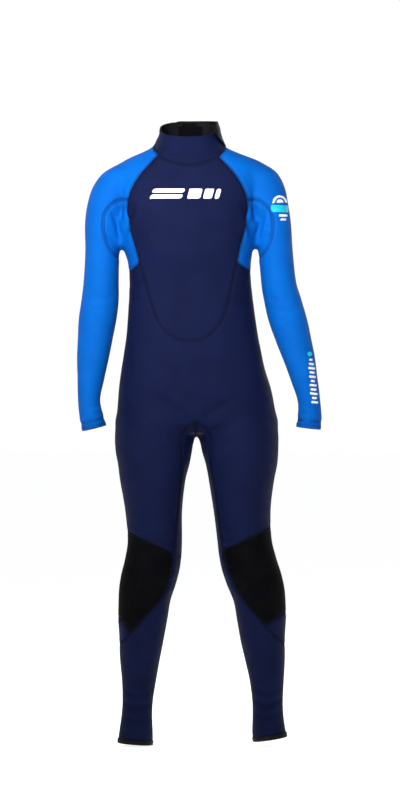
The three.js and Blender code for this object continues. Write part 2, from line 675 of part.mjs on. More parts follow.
for (const { name, material, solid } of makePanels()) addMesh(suit, name, geometryOf(solid), material);
for (const [side, name] of [[RIGHT, 'right'], [LEFT, 'left']]) {
  addMesh(suit, `ankle_hem_${name}`, ankleHem(legs[side]), BLACK_RUBBER);
  for (const [piece, material, geometry] of zipSide(side, name)) addMesh(suit, piece, geometry, material);
}
addMesh(suit, 'zip_bottom_stop', zipBottomStop(), METAL);
addMesh(suit, 'zip_end_patch', zipEndPatch(), BLACK_JERSEY);
addMesh(suit, 'zip_backing_flap', zipBackingFlap(), BLACK_JERSEY);

const sliderPlace = zipPlace(SLIDER_REST_HEIGHT);
suit.add(sliderPlace);
addMesh(sliderPlace, 'zip_slider', geometryOf(makeSlider()), METAL);
addMesh(sliderPlace, 'zip_pull_tab', makePullTab(), METAL);

addMesh(suit, 'neck_closure_tab', neckTab(), BLACK_RUBBER);
addMesh(suit, 'closure_loop_patch', closurePatch(AIR, 1), HOOK_AND_LOOP);
addMesh(suit, 'closure_hook_patch', closurePatch(2 * AIR + 1, 1), HOOK_AND_LOOP);

export default suit;
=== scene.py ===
"""A child's full-length neoprene wetsuit with a back zip, filled out as it is when worn.

Sizes are in millimetres until a mesh is made. +Z is up, the wearer faces -Y and the wearer's
left is +X. The origin is the centre of the neck opening, at the collar seam.
"""

import logging
import math
from dataclasses import dataclass, field
from enum import Enum
from itertools import product
from typing import Callable, Dict, Iterable, List, Optional, Sequence, Tuple

import bmesh
import bpy
import numpy as np
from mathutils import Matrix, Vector, kdtree

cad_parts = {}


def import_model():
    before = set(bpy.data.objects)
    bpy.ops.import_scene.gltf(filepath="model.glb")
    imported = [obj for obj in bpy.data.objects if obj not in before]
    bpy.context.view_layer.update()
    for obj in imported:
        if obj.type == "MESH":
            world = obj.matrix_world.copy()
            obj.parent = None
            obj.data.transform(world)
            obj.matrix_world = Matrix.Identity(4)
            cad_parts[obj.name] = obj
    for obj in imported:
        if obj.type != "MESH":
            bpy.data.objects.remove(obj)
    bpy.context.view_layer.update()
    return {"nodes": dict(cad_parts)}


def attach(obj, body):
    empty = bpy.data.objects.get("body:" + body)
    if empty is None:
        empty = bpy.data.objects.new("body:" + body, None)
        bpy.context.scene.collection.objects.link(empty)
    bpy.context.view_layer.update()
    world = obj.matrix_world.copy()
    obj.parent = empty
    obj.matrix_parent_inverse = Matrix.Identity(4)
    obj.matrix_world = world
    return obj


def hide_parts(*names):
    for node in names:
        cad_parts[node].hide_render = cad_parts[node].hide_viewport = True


log = logging.getLogger("wetsuit")

Array = np.ndarray
Colour = Tuple[float, float, float]
Path2 = Sequence[Tuple[float, float]]
Rule = Callable[[Array], Array]  # gives a value, or yes and no, for each point
Line = Tuple[Array, Array]  # points, and the outward direction at each
Piece = bpy.types.Object
Material = bpy.types.Material
Socket = bpy.types.NodeSocket
MM = 0.001

# ---- driving sizes, the same as the CAD's ----
NEOPRENE = 3.0
AIR = 0.4
MIDDLE = 4.0  # the depth at which the front and back halves of a shoulder meet
SPINE_RADIUS = 900.0
SPINE_Y = -812.0
SPINE_Z = -195.0
COLLAR_DIP = (-6.0, 0.36, 0.0045)  # its height at the middle, its slope back, and its curve up
COLLAR_TOP = (34.5, 0.316)
ARM_END = -473.0
CUFF_HEIGHT = 12.0
CROTCH_X = 10.0
HIPS = -480.0  # where the trunk's tube ends and each leg has its own
NECK_TOP = 60.0
ROW_PITCH = 2.6  # of a plain row of stitches
# Mean radii at which the panels' patterns are unrolled.
TRUNK_RADIUS, ARM_RADIUS, LEG_RADIUS = 92.0, 33.0, 48.0


class Side(Enum):
    """The wearer's sides; the value is the sign of X."""

    RIGHT = -1
    LEFT = 1

    @property
    def word(self) -> str:
        """The side's name as the node names have it."""
        return self.name.lower()


LEG_END = {Side.RIGHT: -1001.0, Side.LEFT: -993.0}


def spine_y(z: float) -> float:
    """The depth of the centre back at a height."""
    return SPINE_Y + math.sqrt(SPINE_RADIUS**2 - (z - SPINE_Z) ** 2)


# Stations from low to high: height, centre x, half width, front y, back y.
TRUNK_STATIONS = [
    (-480, 11.5, 112, -44, 64), (-466, 11.5, 135, -63, 83), (-444, 10.5, 134.5, -70, 88),
    (-408, 8.5, 129.5, -75, 90), (-374, 5.5, 122, -75, 84),
] + [
    (z, x, half, front, spine_y(z))
    for z, x, half, front in (
        (-340, 4.5, 116, -73), (-306, 3.5, 110.5, -70), (-255, 1.5, 105, -64),
        (-215, 0, 103, -66), (-190, -1, 105, -71), (-165, -3, 110, -77),
        (-125, -4, 112, -80), (-95, -5, 115, -78), (-70, -4, 121, -73),
        (-45, -2, 126, -67), (-27, 0, 123, -61), (-16, 0, 106, -57),
        (-6, -1, 84, -53), (4, -2, 63, -50), (14, -3, 56, -47),
        (26, -3, 50, -45), (40, -3.5, 48, -44), (70, -4, 47, -48),
    )
]
# Height, centre x on the right, centre x on the left, half width, front y, back y.
ARM_STATIONS = [
    (-475, -161.5, 200.5, 21, -40, 8), (-452, -167, 203, 20, -39, 9),
    (-425, -171, 201.5, 19, -35, 13), (-391, -168.5, 194, 22.5, -33, 21),
    (-357, -165.5, 186, 26.5, -30, 31), (-323, -161.5, 176, 29.5, -28, 39),
    (-289, -157.5, 166.5, 32, -26, 44), (-255, -153, 158, 31.5, -26, 46),
    (-225, -151, 151, 30, -27, 46), (-170, -149.5, 145.5, 29, -29, 46),
    (-125, -149, 142.5, 29.5, -31, 47), (-90, -138, 131, 36, -34, 49),
    (-60, -123, 119, 41, -36, 50), (-35, -100.5, 102, 42.5, -36, 48),
    (-16, -82, 90, 25, -22, 34),
]
LEG_STATIONS = [
    (-1000, -92.5, 136, 29, -31, 31), (-986, -91.5, 134, 28, -30.5, 30.5),
    (-961, -90, 132.5, 26, -28, 29.5), (-935, -88.5, 131.5, 26, -27, 32),
    (-901, -86.5, 130, 29, -29, 39), (-867, -85, 127.5, 33.5, -33, 47),
    (-833, -82.5, 124, 37.7, -38, 53), (-799, -80.5, 121.5, 41.6, -43, 55),
    (-765, -77, 117.5, 43.6, -47, 52), (-731, -70, 108.5, 47, -52, 48),
    (-697, -63, 99, 47, -55, 46), (-663, -59.5, 92.5, 46, -55, 50),
    (-612, -61.5, 88.5, 48.5, -60, 57), (-561, -63.5, 87.5, 55.5, -66, 64),
    (-534, -61.6, 87.3, 60.6, -68, 70), (-510, -61.3, 84.8, 65, -69, 75),
    (-476, -59.5, 82.5, 67.5, -70, 83), (-430, -56, 79, 62, -66, 86),
]

# ---- seams, as (x, height) seen from the front ----
SHIELD_SIDE = [(82, -195), (92, -158), (99.5, -126), (102, -99), (98, -75), (86, -52),
               (73, -35), (58, -19)]
CHEST_OUTLINE = [(0, -325), (24, -321), (46, -303), (60, -277), (70, -242)] + SHIELD_SIDE + [
    (48, -6), (44, 8), (43, 30)]
BACK_OUTLINE = [(0, -350), (22, -340), (42, -314), (58, -278), (70, -240)] + SHIELD_SIDE + [
    (46, -4), (42, 10), (41, 40)]
UNDERARM_CURVE = {
    Side.RIGHT: [(-103, -87), (-118, -86), (-131, -92), (-142, -103), (-147, -120),
                 (-146, -142), (-139, -163), (-128, -178), (-117.6, -184)],
    Side.LEFT: [(96, -87), (111, -86), (124, -92), (135, -103), (140, -120), (139.5, -142),
                (133, -163), (123, -178), (111.8, -186)],
}
SIDE_PANEL_FOOT = {
    Side.RIGHT: [(-82, -190), (-99, -204), (-111, -211)],
    Side.LEFT: [(76, -190), (97, -204), (110, -211)],
}
# A line in the air between each arm and the body, from the armpit down.
ARM_GAP = {
    Side.RIGHT: [(-111, -211), (-112, -255), (-122, -340), (-132, -391), (-134, -475),
                 (-134, -520)],
    Side.LEFT: [(110, -211), (116, -255), (137, -340), (150, -391), (160, -475), (160, -520)],
}
# Height, depth.
OUTER_LEG_SEAM = [(-1010, 4), (-930, 8), (-850, 12), (-770, 6), (-697, 2), (-561, 12),
                  (-420, 20), (-300, 16), (-206, 12)]
LEG_INNER = {
    Side.RIGHT: [(10, -464), (-6, -472), (-15, -490), (-14, -520), (-15, -555), (-19, -592),
                 (-23, -635), (-28.7, -682), (-28.7, -700), (-34, -728), (-45, -756),
                 (-68, -785), (-103.5, -822.5)],
    Side.LEFT: [(10, -464), (26, -472), (35, -490), (34, -520), (39, -555), (45, -592),
                (50.5, -635), (56.5, -677), (57, -693), (65, -716), (76, -742), (99, -775),
                (129.7, -809)],
}
SHIN = {
    Side.RIGHT: [(-103.5, -822.5), (-120, -841), (-135, -856)],
    Side.LEFT: [(129.7, -809), (161, -841), (175, -856)],
}
PAD_TOP = {
    Side.RIGHT: [(-28, -683), (-103, -650), (-130, -638)],
    Side.LEFT: [(55.8, -678), (136, -641), (170, -625)],
}
PAD_FOOT = {
    Side.RIGHT: [(-102.5, -821.5), (-112, -804), (-124, -792), (-135, -784)],
    Side.LEFT: [(128.7, -808), (143, -797), (164, -785), (185, -772)],
}
SEAM_GAP_HEIGHTS = {Side.RIGHT: (-799.5, -837.0), Side.LEFT: (-788.5, -838.0)}
LEG_BACK_INNER = {
    Side.RIGHT: [(10, -452), (-8, -464), (-20, -490), (-18, -555), (-22, -640), (-28, -697),
                 (-42, -765), (-52, -833), (-66, -901), (-72, -960), (-72, -1010)],
    Side.LEFT: [(10, -452), (28, -464), (38, -490), (38, -530), (44, -580), (52, -640),
                (64, -697), (82, -765), (94, -833), (110, -901), (114, -960), (116, -1010)],
}
BACK_SEAM = [(0, -302), (0, -349), (4, -400), (10, -452)]


def collar_foot(p: Array) -> Array:
    """The height of the seam at the collar's foot, which dips at the throat.

    Args:
        p: Points near it.

    Returns:
        The height above or below each point.
    """
    middle, slope, curve = COLLAR_DIP
    return middle + slope * p[:, 1] + curve * p[:, 0] ** 2


# ---------------------------------------------------------------- small geometry helpers


def ramp(value: Array, low: float, high: float) -> Array:
    """A smooth step from 0 at low to 1 at high.

    Args:
        value: What is tested.
        low: Where the step starts.
        high: Where it ends.

    Returns:
        The step, with the shape of value.
    """
    t = np.clip((value - low) / (high - low), 0, 1)
    return t * t * (3 - 2 * t)


def unit(vectors: Array) -> Array:
    """Vectors with their lengths made 1."""
    return vectors / np.maximum(np.linalg.norm(vectors, axis=-1, keepdims=True), 1e-12)


def smooth_path(points: Sequence[Sequence[float]], step: float) -> Array:
    """A smooth curve through points.

    Args:
        points: The points, in two or three dimensions.
        step: About how far apart the curve's points are.

    Returns:
        The curve's points.
    """
    p = np.asarray(points, float)
    made = []
    for i in range(len(p) - 1):
        a, b = p[i], p[i + 1]
        slope_a = (b - p[max(i - 1, 0)]) / 2
        slope_b = (p[min(i + 2, len(p) - 1)] - a) / 2
        count = max(1, math.ceil(np.linalg.norm(b - a) / step))
        t = (np.arange(count) / count)[:, None]
        rise = b - a
        made.append(a + t * (slope_a + t * (3 * rise - 2 * slope_a - slope_b
                                            + t * (slope_a + slope_b - 2 * rise))))
    return np.vstack(made + [p[-1:]])


def inside(outline: Array, x: Array, z: Array) -> Array:
    """Which points lie inside a closed outline.

    Args:
        outline: The outline's corners.
        x: Across.
        z: Up.

    Returns:
        True for each point inside.
    """
    found = np.zeros(len(x), bool)
    ends = np.roll(outline, -1, axis=0)
    for (ax, az), (bx, bz) in zip(outline, ends):
        if az == bz:
            continue
        crosses = (az > z) != (bz > z)
        found ^= crosses & (x < ax + (z - az) * (bx - ax) / (bz - az))
    return found


def from_path(path: Array, across: Array, up: Array) -> Tuple[Array, Array]:
    """The distances of points from an open path in a plane.

    Args:
        path: The path's points.
        across: The points' first coordinate.
        up: Their second.

    Returns:
        The distances with a sign by the path's side, and the distances. A point well away
        from the path gets 1e3.
    """
    signed = np.full(len(across), 1e3)
    low, high = path.min(0) - 14, path.max(0) + 14
    near = np.flatnonzero((across > low[0]) & (across < high[0]) & (up > low[1]) & (up < high[1]))
    p = np.stack([across[near], up[near]], 1)
    best = np.full(len(near), 1e3)
    sign = np.ones(len(near))
    for a, b in zip(path[:-1], path[1:]):
        along, to = b - a, p - a
        t = np.clip(to @ along / (along @ along), 0, 1)
        distance = np.hypot(*(to - t[:, None] * along).T)
        closer = distance < best - 1e-9
        best[closer] = distance[closer]
        sign[closer] = np.where(along[0] * to[:, 1] - along[1] * to[:, 0] < 0, -1, 1)[closer]
    signed[near] = best * sign
    return signed, np.abs(signed)


def chains(edges: Array) -> List[List[int]]:
    """Joins edges end to end, stopping wherever more or fewer than two meet.

    Args:
        edges: Pairs of point numbers.

    Returns:
        The point numbers along each chain. A closed one ends with its first number.
    """
    meets: Dict[int, List[int]] = {}
    for a, b in edges.tolist():
        meets.setdefault(a, []).append(b)
        meets.setdefault(b, []).append(a)
    left = {tuple(sorted(edge)) for edge in edges.tolist()}
    starts = [p for p in sorted(meets) if len(meets[p]) != 2] + sorted(meets)
    made = []
    for start in starts:
        for onward in meets[start]:
            if tuple(sorted((start, onward))) not in left:
                continue
            chain, here = [start], onward
            left.discard(tuple(sorted((start, onward))))
            while True:
                chain.append(here)
                if len(meets[here]) != 2 or here == start:
                    break
                following = [n for n in meets[here] if tuple(sorted((here, n))) in left]
                if not following:
                    break
                left.discard(tuple(sorted((here, following[0]))))
                here = following[0]
            made.append(chain)
    return made


def even_out(points: Array, rounds: int, closed: bool) -> Array:
    """Takes the small jumps out of a line of points, leaving its ends where they are."""
    p = points.copy()
    for _ in range(rounds):
        if closed:
            ring = p[:-1]
            ring = ring * 0.5 + (np.roll(ring, 1, 0) + np.roll(ring, -1, 0)) * 0.25
            p = np.vstack([ring, ring[:1]])
        elif len(p) > 2:
            p[1:-1] = p[1:-1] * 0.5 + (p[:-2] + p[2:]) * 0.25
    return p


# ---------------------------------------------------------------- the wearer's form


class Stations:
    """A table of stations by height, with a smooth curve through each column."""

    def __init__(self, rows: Sequence[Sequence[float]]) -> None:
        """Takes the rows from low to high."""
        table = np.array(rows, float)
        self.heights, self.columns = table[:, 0], table[:, 1:]
        before = np.vstack([table[:1], table[:-1]])
        after = np.vstack([table[1:], table[-1:]])
        rise = after - before
        self.slopes = rise[:, 1:] / rise[:, :1]

    def read(self, height: Array) -> Array:
        """The columns at heights, run straight on beyond the ends.

        Args:
            height: The heights.

        Returns:
            One row per height.
        """
        h = np.atleast_1d(np.asarray(height, float))
        held = np.clip(h, self.heights[0], self.heights[-1])
        i = np.clip(np.searchsorted(self.heights, held, "right") - 1, 0, len(self.heights) - 2)
        span = (self.heights[i + 1] - self.heights[i])[:, None]
        t = (held - self.heights[i])[:, None] / span
        a, rise = self.columns[i], self.columns[i + 1] - self.columns[i]
        m0, m1 = self.slopes[i] * span, self.slopes[i + 1] * span
        value = a + t * (m0 + t * (3 * rise - 2 * m0 - m1 + t * (m0 + m1 - 2 * rise)))
        beyond = (h - held)[:, None]
        end = np.where(beyond < 0, self.slopes[0], self.slopes[-1])
        return value + beyond * end


@dataclass
class Tube:
    """One tube of the form, as stations of centre, half width, front and back."""

    stations: Stations
    power: float
    bottom: float
    top: float
    closes_above: bool = True
    run_on: float = 16.0  # how much lower than its end it really closes, to be trimmed
    upright: Tuple[float, float] = (-2000.0, -1999.0)  # where its rings turn level, going up
    shrinks: Tuple[float, float] = (0.0, 1.0)  # where it draws in inside the trunk, going up
    shrink_depth: float = 0.0

    def section(self, height: Array) -> Array:
        """Centre x, centre y, half width and half depth at heights, one row each."""
        x, half, front, back = self.stations.read(height).T
        return np.stack([x, (front + back) / 2, half, (back - front) / 2], 1)

    def direction(self, height: float) -> Array:
        """The way the line of centres runs at a height, upwards."""
        low, high = self.section([height - 2, height + 2])
        return unit(np.array([high[0] - low[0], high[1] - low[1], 4.0]))

    def centre(self, height: float) -> Array:
        """The middle of the section at a height."""
        x, y, _, _ = self.section([height])[0]
        return np.array([x, y, height])

    def distance(self, x: Array, y: Array, z: Array) -> Array:
        """About how far outside the tube each point of a grid is.

        Args:
            x: The grid's widths.
            y: The grid's depths.
            z: The grid's heights.

        Returns:
            The distances, below zero inside.
        """
        held = np.clip(z, self.stations.heights[0], self.stations.heights[-1])
        s = self.section(held)
        run = (self.section(z + 2) - self.section(z - 2)) / 4
        cx = s[:, 0] + (z - held) * run[:, 0]
        cy = s[:, 1] + (z - held) * run[:, 1]
        run = run * (1 - ramp(z, *self.upright))[:, None]
        lean = np.sqrt(1 + run[:, 0] ** 2 + run[:, 1] ** 2)
        lean_x, lean_y = np.sqrt(1 + run[:, 0] ** 2), np.sqrt(1 + run[:, 1] ** 2)
        dx = np.abs(x[:, None, None] - cx)
        dy = np.abs(y[None, :, None] - cy)
        reach = ((dx / (s[:, 2] * lean_x)) ** self.power
                 + (dy / (s[:, 3] * lean_y)) ** self.power) ** (1 / self.power)
        out = np.sqrt(dx * dx + dy * dy) * (1 - 1 / np.maximum(reach, 1e-3)) / lean
        out = out + self.shrink_depth * ramp(z, *self.shrinks)[None, None, :]
        if self.closes_above:
            out = np.maximum(out, (z - self.top)[None, None, :])
        return np.maximum(out, (self.bottom - self.run_on - z)[None, None, :])

    def rim(self, height: float, angles: Array, grow: float) -> Array:
        """The section's outline, square to the tube.

        Args:
            height: The height of its middle.
            angles: About +Z from +X, in radians.
            grow: How far outside the section it is.

        Returns:
            A point for each angle.
        """
        held = float(np.clip(height, self.bottom, self.top))
        _, _, half, deep = self.section([held])[0]
        reach = 2 / self.power
        cos, sin = np.cos(angles), np.sin(angles)
        across = np.sign(cos) * np.abs(cos) ** reach * (half + grow)
        along = np.sign(sin) * np.abs(sin) ** reach * (deep + grow)
        up = self.direction(held)
        to_back = unit(np.array([0.0, 1.0, 0.0]) - up * up[1])
        to_left = np.cross(to_back, up)
        middle = self.centre(held) + up * (height - held)
        return middle + across[:, None] * to_left + along[:, None] * to_back


def limb(rows: Sequence[Sequence[float]], side: Side, power: float, bottom: float,
         top: float) -> Tube:
    """A limb's tube from a table that both sides share.

    Args:
        rows: Height, right centre, left centre, half width, front, back.
        side: Which side's line of centres it takes.
        power: How square the section is.
        bottom: The height of its open end.
        top: The height at which it ends inside the trunk.

    Returns:
        The tube.
    """
    column = 1 if side is Side.RIGHT else 2
    stations = Stations([(r[0], r[column], *r[3:]) for r in rows])
    arm = rows is ARM_STATIONS
    return Tube(stations, power, bottom, top,
                upright=(-300, -120) if arm else (-700, -500),
                shrinks=(0, 1) if arm else (-474, -434), shrink_depth=9.0)


@dataclass(frozen=True)
class Ease:
    """A place where the form is eased, so that tubes run into each other."""

    middle: Tuple[float, float, float]
    reach: float
    rounds: int


@dataclass
class Form:
    """The wearer's form: five tubes joined in one distance field on a grid."""

    step: float = 3.0
    low: Tuple[float, float, float] = (-203.0, -93.0, -1013.0)
    high: Tuple[float, float, float] = (235.0, 104.0, 61.0)
    blend: float = 7.0
    armpit: Tuple[float, float] = (-168.0, -112.0)
    armpit_blend: float = 26.0
    hip_blend: float = 14.0
    eases: Tuple[Ease, ...] = (
        Ease((-98, 5, -40), 55, 26), Ease((96, 5, -40), 55, 26),
        Ease((10, 10, -458), 52, 9), Ease((-80, 15, -458), 66, 26), Ease((102, 15, -458), 66, 26),
        Ease((0, 10, 0), 75, 8),
    )
    trunk: Tube = field(init=False)
    arms: Dict[Side, Tube] = field(init=False)
    legs: Dict[Side, Tube] = field(init=False)
    values: Array = field(init=False)
    slopes: Array = field(init=False)

    def __post_init__(self) -> None:
        """Makes the tubes and samples the field."""
        self.trunk = Tube(Stations(TRUNK_STATIONS), 2.35, HIPS, 66, False, 0)
        self.arms = {s: limb(ARM_STATIONS, s, 2.0, ARM_END, -18) for s in Side}
        self.legs = {s: limb(LEG_STATIONS, s, 2.1, LEG_END[s], -430) for s in Side}
        x, y, z = (np.arange(a, b, self.step) for a, b in zip(self.low, self.high))
        joined = self.trunk.distance(x, y, z)
        low, high = self.armpit
        web = ramp(z, low - 12, low + 8) * (1 - ramp(z, high - 16, high + 16))
        reach = self.blend + (self.armpit_blend - self.blend) * web
        for arm in self.arms.values():
            joined = self.join(joined, arm.distance(x, y, z), reach)
        reach = self.blend + (self.hip_blend - self.blend) * ramp(z, -500, -470)
        for leg in self.legs.values():
            joined = self.join(joined, leg.distance(x, y, z), reach)
        for ease in self.eases:
            self.ease(joined, x, y, z, ease)
        self.values = joined
        self.slopes = np.stack(np.gradient(joined, self.step), -1)

    @staticmethod
    def join(a: Array, b: Array, reach: Array) -> Array:
        """Two fields as one, with a fillet where they meet that may differ with height."""
        near = np.maximum(reach - np.abs(a - b), 0) / reach
        return np.minimum(a, b) - near * near * reach / 4

    @staticmethod
    def ease(values: Array, x: Array, y: Array, z: Array, ease: Ease) -> None:
        """Spreads the field's corners out around one place, in place."""
        cuts = [np.flatnonzero(np.abs(axis - m) < ease.reach) for axis, m in
                zip((x, y, z), ease.middle)]
        block = tuple(slice(c[0], c[-1] + 1) for c in cuts)
        part = values[block]
        squares = [((axis[c] - m) / ease.reach) ** 2 for axis, c, m in
                   zip((x, y, z), cuts, ease.middle)]
        away = np.sqrt(squares[0][:, None, None] + squares[1][None, :, None]
                       + squares[2][None, None, :])
        weight = (1 - ramp(away, 0.45, 1.0))[1:-1, 1:-1, 1:-1] / 7
        for _ in range(ease.rounds):
            core = part[1:-1, 1:-1, 1:-1]
            spread = (part[2:, 1:-1, 1:-1] + part[:-2, 1:-1, 1:-1] + part[1:-1, 2:, 1:-1]
                      + part[1:-1, :-2, 1:-1] + part[1:-1, 1:-1, 2:] + part[1:-1, 1:-1, :-2])
            part[1:-1, 1:-1, 1:-1] = core + weight * (spread - 6 * core)

    def sample(self, points: Array) -> Tuple[Array, Array]:
        """The field and its slope at points.

        Args:
            points: The points.

        Returns:
            The values, and the slopes as vectors.
        """
        g = (points - np.array(self.low)) / self.step
        g = np.clip(g, 0, np.array(self.values.shape) - 1.001)
        i = g.astype(int)
        f = g - i
        value = np.zeros(len(points))
        slope = np.zeros((len(points), 3))
        for corner in product((0, 1), repeat=3):
            weight = np.prod(np.where(corner, f, 1 - f), axis=1)
            at = tuple((i + corner).T)
            value += weight * self.values[at]
            slope += weight[:, None] * self.slopes[at]
        return value, slope

    def land(self, points: Array, rounds: int = 3, out: float = 0.0) -> Array:
        """Moves points onto the form's surface, or a little outside it."""
        p = points.copy()
        for _ in range(rounds):
            value, slope = self.sample(p)
            square = np.maximum((slope * slope).sum(1), 0.05)
            step = np.clip((value - out) / square, -4, 4)
            p -= step[:, None] * slope
        return p

    def surface(self) -> Tuple[Array, Array]:
        """The form's surface as one mesh.

        Returns:
            Its points and its triangles, which face outwards.
        """
        v = self.values
        within = v < 0
        cell = tuple(n - 1 for n in v.shape)

        def corner(array: Array, offset: Tuple[int, int, int]) -> Array:
            """The array moved by one corner's offset."""
            return array[tuple(slice(o, o + n) for o, n in zip(offset, cell))]

        corners = list(product((0, 1), repeat=3))
        count = sum(corner(within, c).astype(np.int8) for c in corners)
        active = (count > 0) & (count < 8)
        number = np.full(cell, -1)
        number[active] = np.arange(active.sum())
        total = np.zeros((active.sum(), 3))
        hits = np.zeros(active.sum())
        for a in corners:
            for axis in range(3):
                if a[axis]:
                    continue
                b = tuple(1 if k == axis else a[k] for k in range(3))
                va, vb = corner(v, a)[active], corner(v, b)[active]
                cross = (va < 0) != (vb < 0)
                t = np.where(cross, va / np.where(cross, va - vb, 1), 0)
                place = np.tile(np.array(a, float), (len(va), 1))
                place[:, axis] += t
                total[cross] += place[cross]
                hits[cross] += 1
        points = (np.argwhere(active) + total / hits[:, None]) * self.step + np.array(self.low)
        quads = []
        for axis in range(3):
            u, w = (axis + 1) % 3, (axis + 2) % 3
            shape = list(v.shape)
            shape[axis] -= 1
            low = within[tuple(slice(0, n) for n in shape)]
            high = within[tuple(slice(1, None) if k == axis else slice(None) for k in range(3))]
            for flip in (False, True):
                at = np.argwhere((low & ~high) if not flip else (~low & high))
                keep = np.all(at[:, [u, w]] > 0, 1) & np.all(
                    at[:, [u, w]] < np.array(cell)[[u, w]], 1)
                at = at[keep]
                ring = []
                for du, dw in ((-1, -1), (0, -1), (0, 0), (-1, 0)):
                    c = at.copy()
                    c[:, u] += du
                    c[:, w] += dw
                    ring.append(number[tuple(c.T)])
                quads.append(np.stack(ring[::-1] if flip else ring, 1))
        q = np.vstack(quads)
        points = self.relax(points, q)
        d0 = np.linalg.norm(points[q[:, 0]] - points[q[:, 2]], axis=1)
        d1 = np.linalg.norm(points[q[:, 1]] - points[q[:, 3]], axis=1)
        short = (d0 < d1)[:, None]
        first = np.where(short, q[:, [0, 1, 2]], q[:, [0, 1, 3]])
        second = np.where(short, q[:, [0, 2, 3]], q[:, [1, 2, 3]])
        return points, np.vstack([first, second])

    def relax(self, points: Array, quads: Array) -> Array:
        """Evens out the mesh's points along the surface.

        Args:
            points: The points.
            quads: The faces.

        Returns:
            The moved points.
        """
        a = quads.ravel()
        b = np.roll(quads, -1, axis=1).ravel()
        count = np.bincount(a, minlength=len(points)) + np.bincount(b, minlength=len(points))
        for _ in range(5):
            mean = np.stack([np.bincount(a, points[b, k], len(points))
                             + np.bincount(b, points[a, k], len(points))
                             for k in range(3)], 1) / count[:, None]
            points = self.land(points + (mean - points) * 0.6, 1)
        return self.land(points, 2)


# ---------------------------------------------------------------- the sewn skin


class Panel(Enum):
    """The suit's panels, named as their CAD nodes."""

    FRONT_BODY = "front_body_panel"
    SEAT_RIGHT = "seat_and_leg_panel_right"
    SEAT_LEFT = "seat_and_leg_panel_left"
    INNER_RIGHT = "inner_leg_panel_right"
    INNER_LEFT = "inner_leg_panel_left"
    PAD_RIGHT = "knee_pad_right"
    PAD_LEFT = "knee_pad_left"
    SLEEVE_RIGHT = "sleeve_right"
    SLEEVE_LEFT = "sleeve_left"
    UNDERARM_RIGHT = "underarm_panel_right"
    UNDERARM_LEFT = "underarm_panel_left"
    CUFF_RIGHT = "wrist_cuff_right"
    CUFF_LEFT = "wrist_cuff_left"
    CHEST = "chest_panel"
    BACK_RIGHT = "back_panel_right"
    BACK_LEFT = "back_panel_left"
    COLLAR = "collar"


PANEL_ORDER = list(Panel)
CODE = {panel: i for i, panel in enumerate(PANEL_ORDER)}


def panel_of(stem: str, side: Side) -> int:
    """The code of a panel that has a right and a left."""
    return CODE[Panel[f"{stem}_{side.name}"]]


